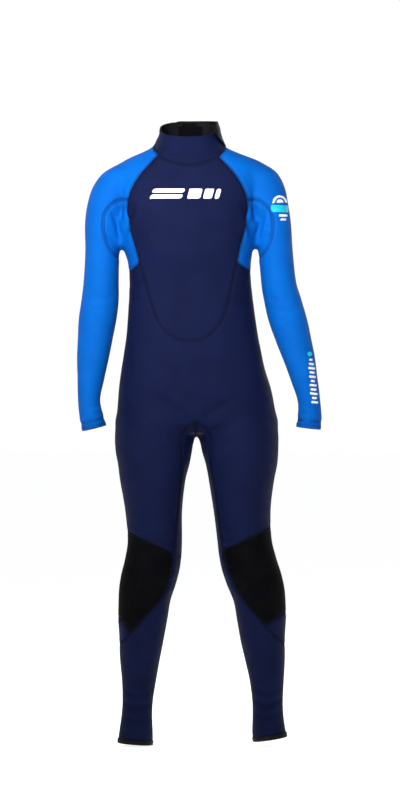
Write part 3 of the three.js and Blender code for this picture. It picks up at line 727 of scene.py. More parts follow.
class Pattern:
    """The suit's cutting pattern: where its seams run, and which panel a point is on."""

    def __init__(self, form: Form) -> None:
        """Works out every outline from the seam tables."""
        self.form = form
        self.outer_seam = Stations(OUTER_LEG_SEAM)
        self.chest = self.shield(CHEST_OUTLINE)
        self.back = self.shield(BACK_OUTLINE)
        fine = {name: {s: smooth_path(table[s], 3) for s in Side} for name, table in (
            ("inner", LEG_INNER), ("shin", SHIN), ("top", PAD_TOP), ("foot", PAD_FOOT),
            ("back", LEG_BACK_INNER), ("arm", UNDERARM_CURVE), ("side", SIDE_PANEL_FOOT))}
        self.paths = fine
        self.inner_front, self.pad, self.calf, self.inner_back = {}, {}, {}, {}
        self.arm, self.underarm = {}, {}
        for s in Side:
            far = s.value * 260
            self.inner_front[s] = np.vstack([
                fine["inner"][s], fine["shin"][s][1:], [(far, -880), (far, -1100), (10, -1100)]])
            self.pad[s] = np.vstack([
                fine["top"][s], [(far, -590), (far, -735)], fine["foot"][s][::-1],
                [(s.value * 100, -832), (10, -832), (10, -683)]])
            self.calf[s] = np.vstack([
                fine["foot"][s], [(far, -735), (far, -900)], fine["shin"][s][::-1]])
            self.inner_back[s] = np.vstack([fine["back"][s], [(10, -1010)]])
            self.arm[s] = np.vstack([
                fine["arm"][s][::-1],
                [(s.value * 80, -60), (s.value * 30, -10), (s.value * 30, 90), (far, 90),
                 (far, -520)], ARM_GAP[s][::-1]])
            self.underarm[s] = np.vstack([
                fine["arm"][s], ARM_GAP[s][:1], fine["side"][s][::-1],
                [(s.value * 74, -180), (s.value * 84, -90)]])

    @staticmethod
    def lean(z: Array) -> Array:
        """How far the chest stands to the wearer's right of the collar."""
        return -4 * ramp(z, -300, -150)

    def shield(self, half: Path2) -> Array:
        """A shield panel's whole outline, from the collar on the right round to the left."""
        right = smooth_path([(-x, z) for x, z in half], 3)[::-1]
        left = smooth_path(half, 3)[1:]
        whole = np.vstack([right, left])
        whole[:, 0] += self.lean(whole[:, 1])
        return whole

    def side_of(self, p: Array) -> Array:
        """1 to the wearer's left of the centre back seam, and -1 to the right."""
        line = np.interp(-p[:, 2], [-60, 349, 400, 452], [0, 0, 4, CROTCH_X])
        return np.where(p[:, 0] > line, 1, -1)

    def in_arm(self, p: Array) -> Array:
        """Whether points are on an arm's side of the air between arm and body."""
        found = np.zeros(len(p), bool)
        for s in Side:
            found |= inside(self.arm[s], p[:, 0], p[:, 2])
        return found

    def split_depth(self, p: Array) -> Tuple[Array, Array]:
        """The depth at which the front of the body and legs ends, and whether a point is on
        the outer side, where that is the outer leg seam."""
        z = p[:, 2]
        middle = self.form.trunk.section(z)[:, 0]
        outer = np.abs(p[:, 0] - middle) > 55
        for s in Side:
            cx = self.form.legs[s].section(z)[:, 0]
            own = (z < HIPS) & (self.side_of(p) == s.value)
            outer = np.where(own, (p[:, 0] - cx) * s.value > 0, outer)
        outer &= z < -200
        return np.where(outer, self.outer_seam.read(z)[:, 0], MIDDLE), outer

    def classify(self, p: Array) -> Array:
        """The panel that each point is on.

        Args:
            p: Points on the skin.

        Returns:
            The panels' codes.
        """
        x, y, z = p.T
        depth, _ = self.split_depth(p)
        back = y > depth
        side = self.side_of(p)
        code = np.full(len(p), CODE[Panel.FRONT_BODY])
        for s in Side:
            own = side == s.value
            code[own & back] = panel_of("SEAT", s)
            front = own & ~back & (z < -440)
            code[front & inside(self.pad[s], x, z)] = panel_of("PAD", s)
            code[front & inside(self.calf[s], x, z)] = panel_of("SEAT", s)
            code[front & inside(self.inner_front[s], x, z)] = panel_of("INNER", s)
            code[own & back & inside(self.inner_back[s], x, z)] = panel_of("INNER", s)
        for s in Side:
            arm = inside(self.arm[s], x, z)
            code[arm] = panel_of("SLEEVE", s)
            code[inside(self.underarm[s], x, z)] = panel_of("UNDERARM", s)
            tube = self.form.arms[s]
            along = (p - tube.centre(ARM_END + CUFF_HEIGHT)) @ tube.direction(ARM_END)
            code[arm & (along < 0) & (z < -400)] = panel_of("CUFF", s)
            on_back = (y > MIDDLE) & inside(self.back, x, z) & (x * s.value > 0)
            code[on_back] = panel_of("BACK", s)
        code[(y <= MIDDLE) & inside(self.chest, x, z)] = CODE[Panel.CHEST]
        collar = z > collar_foot(p)
        code[collar & (np.abs(x) < 90) & (z > -36)] = CODE[Panel.COLLAR]
        return code


@dataclass(frozen=True)
class Crease:
    """A soft fold in the cloth, as a line seen from the front or from behind."""

    path: Path2
    width: float
    depth: float
    behind: bool = False


FRONT_CREASES = tuple(Crease(*row) for row in (
    # the hollows under the chest and of the belly
    ([(-66, -138), (-34, -153), (6, -158), (50, -146)], 15, 1.5),
    ([(-54, -262), (-10, -268), (40, -262)], 20, 0.9),
    ([(-40, -44), (-4, -52), (34, -44)], 13, 0.8),
    # armpits
    ([(-112, -154), (-107, -134), (-101, -116), (-97, -98)], 4.6, 3.2),
    ([(-117, -154), (-121, -134), (-127, -116), (-135, -104)], 4.8, 2.8),
    ([(-114, -126), (-116, -110), (-114, -96)], 4.2, 1.8),
    ([(-124, -152), (-134, -150), (-142, -143)], 4.5, 1.2),
    ([(106, -154), (101, -134), (96, -116), (91, -98)], 4.6, 2.6),
    ([(112, -154), (117, -134), (122, -116), (130, -104)], 4.8, 3.4),
    ([(109, -126), (110, -110), (108, -96)], 4.2, 2.0),
    ([(118, -152), (127, -149), (135, -142)], 4.5, 1.2),
    # inner elbows
    ([(-126, -246), (-146, -256), (-168, -254)], 5.5, 1.3),
    ([(-128, -262), (-150, -273), (-178, -268)], 6, 1.2),
    ([(-132, -281), (-152, -288), (-170, -284)], 5, 0.8),
    ([(130, -248), (150, -258), (172, -254)], 5.5, 1.3),
    ([(136, -264), (158, -274), (186, -266)], 6, 1.2),
    ([(143, -284), (162, -291), (180, -286)], 5, 0.8),
    # wrists
    ([(-152, -432), (-168, -438), (-186, -434)], 4, 0.8),
    ([(-150, -446), (-166, -451), (-184, -448)], 3.6, 0.7),
    ([(184, -428), (200, -437), (218, -432)], 4.2, 1.1),
    ([(184, -443), (202, -450), (222, -444)], 4, 1.0),
    # waist
    ([(-104, -228), (-94, -232), (-80, -230)], 5, 0.9),
    ([(-106, -252), (-92, -258), (-72, -255)], 6, 1.0),
    ([(-108, -276), (-94, -282), (-78, -280)], 6, 0.8),
    ([(104, -230), (92, -234), (78, -231)], 5, 0.9),
    ([(108, -254), (94, -261), (74, -257)], 6, 1.0),
    ([(112, -280), (98, -286), (80, -283)], 6, 0.8),
    # crotch and hips
    ([(4, -462), (-20, -444), (-58, -420)], 7, 1.8),
    ([(16, -462), (42, -443), (80, -419)], 7, 1.8),
    ([(-10, -486), (-38, -472), (-78, -452)], 7, 1.3),
    ([(30, -486), (60, -471), (100, -452)], 7, 1.3),
    ([(-16, -506), (-38, -502), (-62, -492)], 6, 1.0),
    ([(36, -506), (58, -501), (82, -491)], 6, 1.0),
    ([(-14, -398), (8, -402), (30, -397)], 7, 0.7),
    # knees
    ([(-24, -662), (-38, -666), (-54, -660)], 5, 1.0),
    ([(-26, -712), (-36, -716), (-50, -712)], 4.5, 1.3),
    ([(-34, -738), (-46, -742), (-60, -738)], 4.5, 1.0),
    ([(50, -656), (64, -660), (80, -654)], 5, 1.0),
    ([(58, -706), (68, -711), (82, -707)], 4.5, 1.3),
    ([(66, -732), (78, -737), (92, -733)], 4.5, 1.0),
    # shins and ankles
    ([(-112, -916), (-92, -923), (-68, -918)], 4.5, 1.0),
    ([(-112, -938), (-90, -944), (-66, -939)], 4.2, 1.1),
    ([(-112, -962), (-92, -967), (-70, -963)], 4.2, 0.8),
    ([(106, -912), (126, -920), (152, -913)], 4.5, 1.4),
    ([(108, -932), (130, -940), (156, -931)], 4.5, 1.6),
    ([(108, -955), (130, -961), (154, -954)], 4.2, 1.1),
))
BACK_CREASES = tuple(Crease(*row, behind=True) for row in (
    ([(-110, -474), (-66, -489), (-16, -480)], 10, 1.6),
    ([(132, -474), (88, -489), (36, -480)], 10, 1.6),
    ([(-92, -512), (-62, -520), (-32, -514)], 6, 0.9),
    ([(112, -512), (82, -520), (52, -514)], 6, 0.9),
    ([(-104, -690), (-68, -699), (-28, -694)], 6, 1.9),
    ([(-100, -712), (-66, -720), (-30, -715)], 5.5, 1.6),
    ([(-96, -672), (-66, -678), (-36, -674)], 5.5, 1.1),
    ([(140, -688), (102, -697), (62, -691)], 6, 1.9),
    ([(142, -710), (106, -718), (68, -713)], 5.5, 1.6),
    ([(136, -670), (102, -676), (70, -671)], 5.5, 1.1),
    ([(-100, -252), (-60, -262), (-20, -258)], 7, 1.0),
    ([(104, -252), (62, -262), (22, -258)], 7, 1.0),
    ([(-104, -278), (-62, -290), (-20, -286)], 7, 1.1),
    ([(108, -278), (66, -290), (22, -286)], 7, 1.1),
    ([(-112, -136), (-98, -122), (-90, -100)], 5, 1.5),
    ([(106, -136), (92, -122), (84, -100)], 5, 1.5),
    ([(-112, -930), (-90, -937), (-66, -931)], 4.5, 1.2),
    ([(108, -926), (130, -934), (154, -926)], 4.5, 1.4),
))


class Skin:
    """The suit's outer surface as one mesh, cut along its seams and named by panel."""

    def __init__(self, form: Form) -> None:
        """Makes the surface, and cuts and names it."""
        self.form = form
        self.pattern = Pattern(form)
        self.points, self.triangles = form.surface()
        self.outward = unit(form.sample(self.points)[1])
        self.cut_seams()
        self.points = form.land(self.points, 2)
        self.outward = unit(form.sample(self.points)[1])
        self.codes = self.pattern.classify(self.middles())

    def middles(self) -> Array:
        """The middle of each triangle."""
        return self.points[self.triangles].mean(1)

    def keep(self, wanted: Array) -> None:
        """Drops the triangles that aren't wanted."""
        self.triangles = self.triangles[wanted]

    def cut(self, value: Rule, where: Rule) -> None:
        """Splits the triangles along the line on which a value is zero.

        Args:
            value: Gives a value for each point, below zero on one side of the line.
            where: Gives the points at which the line is to be cut.
        """
        p = self.points
        f = value(p)
        near = np.flatnonzero(np.abs(f) < 0.62)
        near = near[where(p[near])] if len(near) else near
        if len(near):
            here = p[near]
            nudge = 0.05
            slope = np.stack([
                (value(here + nudge * axis) - value(here - nudge * axis)) / (2 * nudge)
                for axis in np.eye(3)], 1)
            facing = self.outward[near]
            slope -= (slope * facing).sum(1, keepdims=True) * facing
            square = (slope * slope).sum(1)
            step = np.where(square > 0.06, f[near] / np.maximum(square, 0.06), 9.0)
            ok = np.abs(step) * np.sqrt(np.maximum(square, 0)) < 1.3
            p[near[ok]] = here[ok] - step[ok, None] * slope[ok]
            f[near[ok]] = 0
        sign = np.sign(f)
        t = self.triangles
        corner = sign[t]
        picked = np.flatnonzero((corner.min(1) < 0) & (corner.max(1) > 0))
        if not len(picked):
            return
        chosen = t[picked]
        edges = np.stack([chosen, np.roll(chosen, -1, axis=1)], 2).reshape(-1, 2)
        crossing = sign[edges[:, 0]] * sign[edges[:, 1]] < 0
        keys, back = np.unique(np.sort(edges[crossing], 1), axis=0, return_inverse=True)
        a, b = keys.T
        share = (f[a] / (f[a] - f[b]))[:, None]
        made = p[a] + (p[b] - p[a]) * share
        good = where(made)
        numbers = np.full(len(keys), -1)
        numbers[good] = len(p) + np.arange(good.sum())
        split = np.full(len(edges), -1)
        split[crossing] = numbers[back.ravel()]
        split = split.reshape(-1, 3)
        self.points = np.vstack([p, made[good]])
        facing = self.outward[a] + (self.outward[b] - self.outward[a]) * share
        self.outward = np.vstack([self.outward, unit(facing[good])])
        fresh: List[Tuple[int, int, int]] = []
        for (i, j, k), (ij, jk, ki) in zip(chosen.tolist(), split.tolist()):
            fresh += self.split_triangle(i, j, k, ij, jk, ki)
        kept = np.ones(len(t), bool)
        kept[picked] = False
        self.triangles = np.vstack([t[kept], np.array(fresh, int)])

    @staticmethod
    def split_triangle(i: int, j: int, k: int, ij: int, jk: int,
                       ki: int) -> List[Tuple[int, int, int]]:
        """The parts of a triangle whose sides carry new points, or -1 for none."""
        for _ in range(3):
            have = (ij >= 0, jk >= 0, ki >= 0)
            if have == (False, False, False):
                return [(i, j, k)]
            if have == (True, False, False):
                return [(i, ij, k), (ij, j, k)]
            if have == (True, False, True):
                return [(i, ij, ki), (ij, j, k), (ij, k, ki)]
            if have == (True, True, True):
                return [(i, ij, ki), (ij, j, jk), (jk, k, ki), (ij, jk, ki)]
            i, j, k, ij, jk, ki = j, k, i, jk, ki, ij
        return [(i, j, k)]

    def cut_path(self, path: Array, depth_rule: Rule) -> None:
        """Cuts along a path seen from the front, where a rule on depth holds."""
        self.cut(
            lambda p: from_path(path, p[:, 0], p[:, 2])[0],
            lambda p: (from_path(path, p[:, 0], p[:, 2])[1] < 1.0) & depth_rule(p),
        )

    def cut_seams(self) -> None:
        """Trims the open ends and cuts every seam and the zip's slot."""
        form, pattern = self.form, self.pattern
        height, slope = COLLAR_TOP
        self.trim(lambda p: height + slope * p[:, 1] - p[:, 2], lambda p: p[:, 2] > 0)
        for s in Side:
            self.trim(self.past(form.arms[s], ARM_END), self.at_wrist(s))
            self.trim(self.past(form.legs[s], LEG_END[s]),
                      lambda p, side=s: (p[:, 2] < -940) & (pattern.side_of(p) == side.value))
        self.cut(lambda p: p[:, 2] - collar_foot(p),
                 lambda p: (np.abs(p[:, 0]) < 90) & (p[:, 2] > -36))
        in_slot = lambda p: (p[:, 1] > 30) & (p[:, 2] > -304.01)
        self.cut(lambda p: np.abs(p[:, 0]) - 12, in_slot)
        self.cut(lambda p: p[:, 2] + 304, lambda p: (p[:, 1] > 30) & (np.abs(p[:, 0]) < 12.01))
        slot = lambda p: (p[:, 1] > 30) & (p[:, 2] > -304) & (np.abs(p[:, 0]) < 12)
        self.keep(~slot(self.middles()))

        front = lambda p: p[:, 1] < MIDDLE + 0.01
        behind = lambda p: p[:, 1] > MIDDLE - 0.01
        anywhere = lambda p: np.ones(len(p), bool)
        under_collar = lambda p: p[:, 2] < collar_foot(p) + 0.01
        ahead = lambda p: p[:, 1] < pattern.split_depth(p)[0] + 0.01
        self.cut_path(pattern.chest, lambda p: front(p) & under_collar(p))
        self.cut_path(pattern.back, lambda p: behind(p) & under_collar(p))
        self.cut_path(smooth_path(BACK_SEAM, 3), behind)
        self.cut(lambda p: p[:, 0] - CROTCH_X, lambda p: (p[:, 2] < -448) & (p[:, 2] > -500))
        self.cut(lambda p: p[:, 1] - pattern.outer_seam.read(p[:, 2])[:, 0], self.on_outer_seam)
        for s in Side:
            paths = {name: table[s] for name, table in pattern.paths.items()}
            self.cut_path(paths["arm"], anywhere)
            self.cut_path(paths["side"], anywhere)
            self.cut_path(paths["inner"], lambda p: p[:, 1] < MIDDLE + 0.01)
            self.cut_path(paths["back"], lambda p: p[:, 1] > MIDDLE - 0.01)
            for name in ("shin", "top", "foot"):
                self.cut_path(paths[name], ahead)
            self.cut(self.past(form.arms[s], ARM_END + CUFF_HEIGHT), self.at_wrist(s))

    def at_wrist(self, side: Side) -> Rule:
        """A test for points near one arm's end."""
        return lambda p: (self.pattern.in_arm(p) & (p[:, 2] < -400)
                          & (p[:, 0] * side.value > 0))

    @staticmethod
    def past(tube: Tube, height: float) -> Rule:
        """How far points are above the plane square to a tube at a height."""
        middle = tube.centre(height)
        up = tube.direction(max(height, tube.bottom))
        return lambda p: (p - middle) @ up

    def trim(self, value: Rule, where: Rule) -> None:
        """Cuts along a line and drops what is on the side below zero."""
        self.cut(value, where)
        middles = self.middles()
        self.keep(~((value(middles) < 0) & where(middles)))

    def on_outer_seam(self, p: Array) -> Array:
        """Whether points are where the outer leg seam is sewn."""
        _, outer = self.pattern.split_depth(p)
        side = self.pattern.side_of(p)
        gap = np.zeros(len(p), bool)
        for s in Side:
            high, low = SEAM_GAP_HEIGHTS[s]
            gap |= (side == s.value) & (p[:, 2] < high - 3) & (p[:, 2] > low + 3)
        return outer & ~gap & ~self.pattern.in_arm(p) & (p[:, 2] < -203)

    # -- edges --

    def edges(self) -> Tuple[Array, Array, Array]:
        """Every edge with the panels on its two sides.

        Returns:
            The edges, and the codes on each side; the second is -1 at an open edge.
        """
        t = self.triangles
        all_edges = np.stack([t, np.roll(t, -1, axis=1)], 2).reshape(-1, 2)
        owner = np.repeat(self.codes, 3)
        keys, index = np.unique(np.sort(all_edges, 1), axis=0, return_inverse=True)
        index = index.ravel()
        order = np.argsort(index, kind="stable")
        first = np.searchsorted(index[order], np.arange(len(keys)))
        count = np.bincount(index, minlength=len(keys))
        one = owner[order[first]]
        two = np.where(count > 1, owner[order[np.minimum(first + 1, len(order) - 1)]], -1)
        return keys, one, two

    def seams(self) -> List[Tuple[List[int], Tuple[int, int]]]:
        """Each run of seam between two panels: its points and the panels' codes."""
        keys, one, two = self.edges()
        found = []
        sewn = (two >= 0) & (one != two)
        pairs = np.sort(np.stack([one, two], 1), 1)
        for a, b in sorted(set(map(tuple, pairs[sewn].tolist()))):
            mine = sewn & (pairs[:, 0] == a) & (pairs[:, 1] == b)
            found += [(chain, (a, b)) for chain in chains(keys[mine]) if len(chain) > 4]
        return found

    def rims(self) -> List[List[int]]:
        """The open edges: neck, wrists, ankles and the zip's slot."""
        keys, _, two = self.edges()
        return [chain for chain in chains(keys[two < 0]) if len(chain) > 8]

    # -- relief --

    def relief(self, p: Array, seam_samples: Array) -> Array:
        """How far the cloth stands out from the form at points on it.

        Args:
            p: The points.
            seam_samples: Points along every seam.

        Returns:
            The distances.
        """
        x, y, z = p.T
        out = 0.28 * (np.sin(x / 23 + 1.3) * np.sin(z / 31 + 0.4 * np.sin(y / 17))
                      + np.sin(z / 19 + x / 37) * np.sin(y / 26 + 0.7))
        limbs = self.limb_middle(p)
        for crease in FRONT_CREASES + BACK_CREASES:
            path = smooth_path(crease.path, 5)
            low, high = path.min(0) - 4 * crease.width, path.max(0) + 4 * crease.width
            near = (x > low[0]) & (x < high[0]) & (z > low[1]) & (z < high[1])
            near &= (y > limbs) if crease.behind else (y < limbs)
            at = np.flatnonzero(near)
            if not len(at):
                continue
            q = np.stack([x[at], z[at]], 1)
            best = np.full(len(at), 1e3)
            share = np.zeros(len(at))
            for n, (a, b) in enumerate(zip(path[:-1], path[1:])):
                along = b - a
                t = np.clip((q - a) @ along / (along @ along), 0, 1)
                distance = np.hypot(*(q - a - t[:, None] * along).T)
                closer = distance < best
                best[closer] = distance[closer]
                share[closer] = ((n + t) / (len(path) - 1))[closer]
            fade = np.sin(np.clip(share, 0.02, 0.98) * math.pi) ** 0.7
            depth_fade = ramp(np.abs(y[at] - limbs[at]), 0, 12)
            w = best / crease.width
            fold = -np.exp(-w * w) + 0.55 * np.exp(-((w - 1.9) / 1.1) ** 2)
            out[at] += crease.depth * fade * depth_fade * fold
        tree = kdtree.KDTree(len(seam_samples))
        for n, point in enumerate(seam_samples):
            tree.insert(point, n)
        tree.balance()
        d = np.array([tree.find(point)[2] for point in p])
        out += -1.0 * np.exp(-(d / 2.8) ** 2) + 0.36 * np.exp(-((d - 7.5) / 4.0) ** 2)
        return out

    def limb_middle(self, p: Array) -> Array:
        """The depth of the middle of whichever tube a point is on."""
        z = p[:, 2]
        middle = self.form.trunk.section(np.clip(z, HIPS, NECK_TOP))[:, 1]
        side = self.pattern.side_of(p)
        for s in Side:
            own = (z < -478) & (side == s.value)
            middle = np.where(own, self.form.legs[s].section(z)[:, 1], middle)
            arm = inside(self.pattern.arm[s], p[:, 0], z)
            middle = np.where(arm, self.form.arms[s].section(z)[:, 1], middle)
        return middle

    def normals(self, points: Array) -> Array:
        """The outward direction at each point of the mesh."""
        a, b, c = (points[self.triangles[:, k]] for k in range(3))
        face = np.cross(b - a, c - a)
        total = np.stack([
            sum(np.bincount(self.triangles[:, k], face[:, axis], len(points)) for k in range(3))
            for axis in range(3)], 1)
        return unit(total)


# ---------------------------------------------------------------- finishes


class NodeSheet:
    """A material's node tree, with short ways to add and join nodes."""

    def __init__(self, name: str) -> None:
        """Makes the material with one shader."""
        self.material = bpy.data.materials.new(name)
        self.material.use_nodes = True
        self.tree = self.material.node_tree
        self.shader = self.tree.nodes["Principled BSDF"]

    def add(self, kind: str, **settings: object) -> bpy.types.Node:
        """Adds a node and sets its properties."""
        node = self.tree.nodes.new(kind)
        for name, value in settings.items():
            setattr(node, name, value)
        return node

    def join(self, source: Socket, target: Socket) -> None:
        """Links two sockets."""
        self.tree.links.new(source, target)

    def into(self, name: str, source: Socket) -> None:
        """Joins a socket to one of the shader's inputs."""
        self.join(source, self.shader.inputs[name])

    def uv(self) -> Tuple[Socket, Socket]:
        """The two numbers of the piece's own UV map."""
        where = self.add("ShaderNodeTexCoord")
        parts = self.add("ShaderNodeSeparateXYZ")
        self.join(where.outputs["UV"], parts.inputs[0])
        return parts.outputs[0], parts.outputs[1]

    def math(self, operation: str, a: object, b: object = 0.0) -> Socket:
        """A math node on sockets or numbers.

        Args:
            operation: The operation's name.
            a: The first input.
            b: The second.

        Returns:
            Its output.
        """
        node = self.add("ShaderNodeMath", operation=operation)
        for socket, value in zip(node.inputs, (a, b)):
            if isinstance(value, (int, float)):
                socket.default_value = value
            else:
                self.join(value, socket)
        return node.outputs[0]

    def noise(self, scale: float, detail: float = 2.0, coordinate: str = "Object",
              stretch: Tuple[float, float, float] = (1, 1, 1)) -> Socket:
        """A noise pattern's value on Object or UV coordinates."""
        where = self.add("ShaderNodeTexCoord")
        turn = self.add("ShaderNodeMapping")
        turn.inputs["Scale"].default_value = stretch
        self.join(where.outputs[coordinate], turn.inputs["Vector"])
        node = self.add("ShaderNodeTexNoise")
        node.inputs["Scale"].default_value = scale
        node.inputs["Detail"].default_value = detail
        self.join(turn.outputs["Vector"], node.inputs["Vector"])
        return node.outputs["Fac"]

    def blend(self, amount: Socket, first: Colour,
              second: Colour) -> Socket:
        """A mix of two colours."""
        mix = self.add("ShaderNodeMix", data_type="RGBA")
        mix.inputs[6].default_value = (*first, 1)
        mix.inputs[7].default_value = (*second, 1)
        self.join(amount, mix.inputs[0])
        return mix.outputs[2]

    def spread(self, value: Socket, low: float, high: float, to_low: float = 0.0,
               to_high: float = 1.0) -> Socket:
        """A value taken from one range to another."""
        node = self.add("ShaderNodeMapRange")
        for name, number in (("From Min", low), ("From Max", high), ("To Min", to_low),
                             ("To Max", to_high)):
            node.inputs[name].default_value = number
        self.join(value, node.inputs["Value"])
        return node.outputs[0]

    def bump(self, height: Socket, depth_mm: float,
             under: Optional[Socket] = None) -> Socket:
        """A bump of a real depth, on top of another one."""
        node = self.add("ShaderNodeBump")
        node.inputs["Strength"].default_value = 1.0
        node.inputs["Distance"].default_value = depth_mm * MM
        self.join(height, node.inputs["Height"])
        if under is not None:
            self.join(under, node.inputs["Normal"])
        return node.outputs["Normal"]

    def finish(self, roughness: float, metallic: float = 0.0, specular: float = 0.5,
               sheen: float = 0.0, sheen_tint: Colour = (1, 1, 1)) -> Material:
        """Sets the shader's constants.

        Args:
            roughness: The roughness, unless something is joined to it.
            metallic: 1 for metal.
            specular: The strength of reflections.
            sheen: How much fuzz catches the light.
            sheen_tint: The fuzz's colour.

        Returns:
            The material.
        """
        inputs = self.shader.inputs
        inputs["Roughness"].default_value = roughness
        inputs["Metallic"].default_value = metallic
        inputs["Specular IOR Level"].default_value = specular
        inputs["Sheen Weight"].default_value = sheen
        inputs["Sheen Roughness"].default_value = 0.45
        inputs["Sheen Tint"].default_value = (*sheen_tint, 1)
        return self.material


def linear(red: int, green: int, blue: int) -> Colour:
    """A colour from its display values, 0 to 255."""
    return tuple(
        c / 12.92 if c <= 0.04045 else ((c + 0.055) / 1.055) ** 2.4
        for c in (red / 255, green / 255, blue / 255)
    )


@dataclass(frozen=True)
class Finish:
    """What every finish has: a name, its colour, and the darker tone that varies it."""

    name: str
    colour: Colour
    shade: Colour

    def toned(self, sheet: NodeSheet, amount: Socket) -> None:
        """Varies the base colour between the shade and the colour."""
        sheet.into("Base Color", sheet.blend(amount, self.shade, self.colour))


@dataclass(frozen=True)
class Jersey(Finish):
    """The knitted nylon face of the neoprene: fine wales and courses with a soft sheen."""

    sheen: float = 0.25
    roughness: float = 0.62
    wale: float = 0.9
    course: float = 0.7
    knit_depth: float = 0.09

    def material(self) -> Material:
        """Makes the material."""
        sheet = NodeSheet(self.name)
        u, v = sheet.uv()
        turn = 2 * math.pi / MM
        across = sheet.math("SINE", sheet.math("MULTIPLY", u, turn / self.wale))
        slanted = sheet.math("ABSOLUTE", across)
        lifted = sheet.math("ADD", sheet.math("MULTIPLY", v, turn / self.course),
                            sheet.math("MULTIPLY", slanted, 1.6))
        along = sheet.math("SINE", lifted)
        knit = sheet.math("ADD", sheet.math("MULTIPLY", across, 0.5),
                          sheet.math("MULTIPLY", along, 0.5))
        broad = sheet.noise(26, 3)
        fleck = sheet.noise(900, 2)
        tone = sheet.math("ADD", sheet.math("MULTIPLY", sheet.spread(knit, -1, 1), 0.34),
                          sheet.math("ADD", sheet.math("MULTIPLY", broad, 0.42),
                                     sheet.math("MULTIPLY", fleck, 0.4)))
        self.toned(sheet, sheet.spread(tone, 0.3, 0.85))
        rough = sheet.spread(sheet.noise(60, 3), 0.3, 0.7, self.roughness - 0.05,
                             self.roughness + 0.07)
        sheet.into("Roughness", rough)
        foam = sheet.bump(sheet.noise(210, 3), 0.22)
        cloth = sheet.bump(knit, self.knit_depth, foam)
        sheet.into("Normal", cloth)
        return sheet.finish(self.roughness, 0, 0.06, self.sheen, self.colour)


@dataclass(frozen=True)
class Tough(Finish):
    """The woven, slightly rubbery facing of the knee pads and patches."""

    roughness: float = 0.72
    grain: float = 1.5

    def material(self) -> Material:
        """Makes the material."""
        sheet = NodeSheet(self.name)
        where = sheet.add("ShaderNodeTexCoord")
        cells = sheet.add("ShaderNodeTexVoronoi", feature="DISTANCE_TO_EDGE")
        cells.inputs["Scale"].default_value = 1 / (self.grain * MM)
        sheet.join(where.outputs["Object"], cells.inputs["Vector"])
        worn = sheet.noise(34, 4)
        self.toned(sheet, sheet.spread(worn, 0.35, 0.75))
        grain = sheet.spread(cells.outputs["Distance"], 0.0, 0.25)
        under = sheet.bump(sheet.noise(240, 3), 0.18)
        sheet.into("Normal", sheet.bump(grain, 0.14, under))
        sheet.into("Roughness", sheet.spread(worn, 0.3, 0.8, self.roughness - 0.1,
                                             self.roughness + 0.1))
        return sheet.finish(self.roughness, 0, 0.03, 0.0, (0.6, 0.6, 0.62))


@dataclass(frozen=True)
class Rubber(Finish):
    """Smooth-skin rubber, with faint pores and a satin gloss."""

    roughness: float = 0.42

    def material(self) -> Material:
        """Makes the material."""
        sheet = NodeSheet(self.name)
        smudge = sheet.noise(70, 4)
        self.toned(sheet, sheet.spread(smudge, 0.3, 0.8))
        sheet.into("Normal", sheet.bump(sheet.noise(1400, 2), 0.05,
                                        sheet.bump(sheet.noise(160, 3), 0.12)))
        sheet.into("Roughness", sheet.spread(smudge, 0.3, 0.75, self.roughness - 0.06,
                                             self.roughness + 0.12))
        return sheet.finish(self.roughness, 0, 0.16)


@dataclass(frozen=True)
class Woven(Finish):
    """A flat woven tape: two sets of threads on the piece's own UV map."""

    pitch: float = 0.8
    roughness: float = 0.75

    def material(self) -> Material:
        """Makes the material."""
        sheet = NodeSheet(self.name)
        u, v = sheet.uv()
        turn = math.pi / (self.pitch * MM)
        warp = sheet.math("SINE", sheet.math("MULTIPLY", u, turn))
        weft = sheet.math("SINE", sheet.math("MULTIPLY", v, turn))
        weave = sheet.math("MULTIPLY", warp, weft)
        tone = sheet.math("ADD", sheet.math("MULTIPLY", weave, 0.3), sheet.noise(300, 2))
        self.toned(sheet, sheet.spread(tone, 0.2, 0.9))
        sheet.into("Normal", sheet.bump(weave, 0.12))
        return sheet.finish(self.roughness, 0, 0.3, 0.2, self.colour)


@dataclass(frozen=True)
class Thread(Finish):
    """Twisted polyester thread."""

    def material(self) -> Material:
        """Makes the material."""
        sheet = NodeSheet(self.name)
        strands = sheet.noise(2600, 1)
        self.toned(sheet, strands)
        sheet.into("Normal", sheet.bump(strands, 0.04))
        return sheet.finish(0.6, 0, 0.12, 0.0, self.colour)


@dataclass(frozen=True)
class Metal(Finish):
    """Plated zinc, brushed and lightly worn."""

    roughness: float = 0.3

    def material(self) -> Material:
        """Makes the material."""
        sheet = NodeSheet(self.name)
        brushed = sheet.noise(800, 3, "Object", (1, 1, 0.08))
        self.toned(sheet, sheet.noise(180, 3))
        sheet.into("Roughness", sheet.spread(brushed, 0.3, 0.7, self.roughness - 0.06,
                                             self.roughness + 0.14))
        sheet.into("Normal", sheet.bump(brushed, 0.02))
        return sheet.finish(self.roughness, 1.0)


@dataclass(frozen=True)
class Print(Finish):
    """Flexible print ink, slightly cracked and satin."""

    def material(self) -> Material:
        """Makes the material."""
        sheet = NodeSheet(self.name)
        self.toned(sheet, sheet.spread(sheet.noise(420, 3), 0.35, 0.6))
        sheet.into("Normal", sheet.bump(sheet.noise(1100, 2), 0.05))
        return sheet.finish(0.45, 0, 0.4)


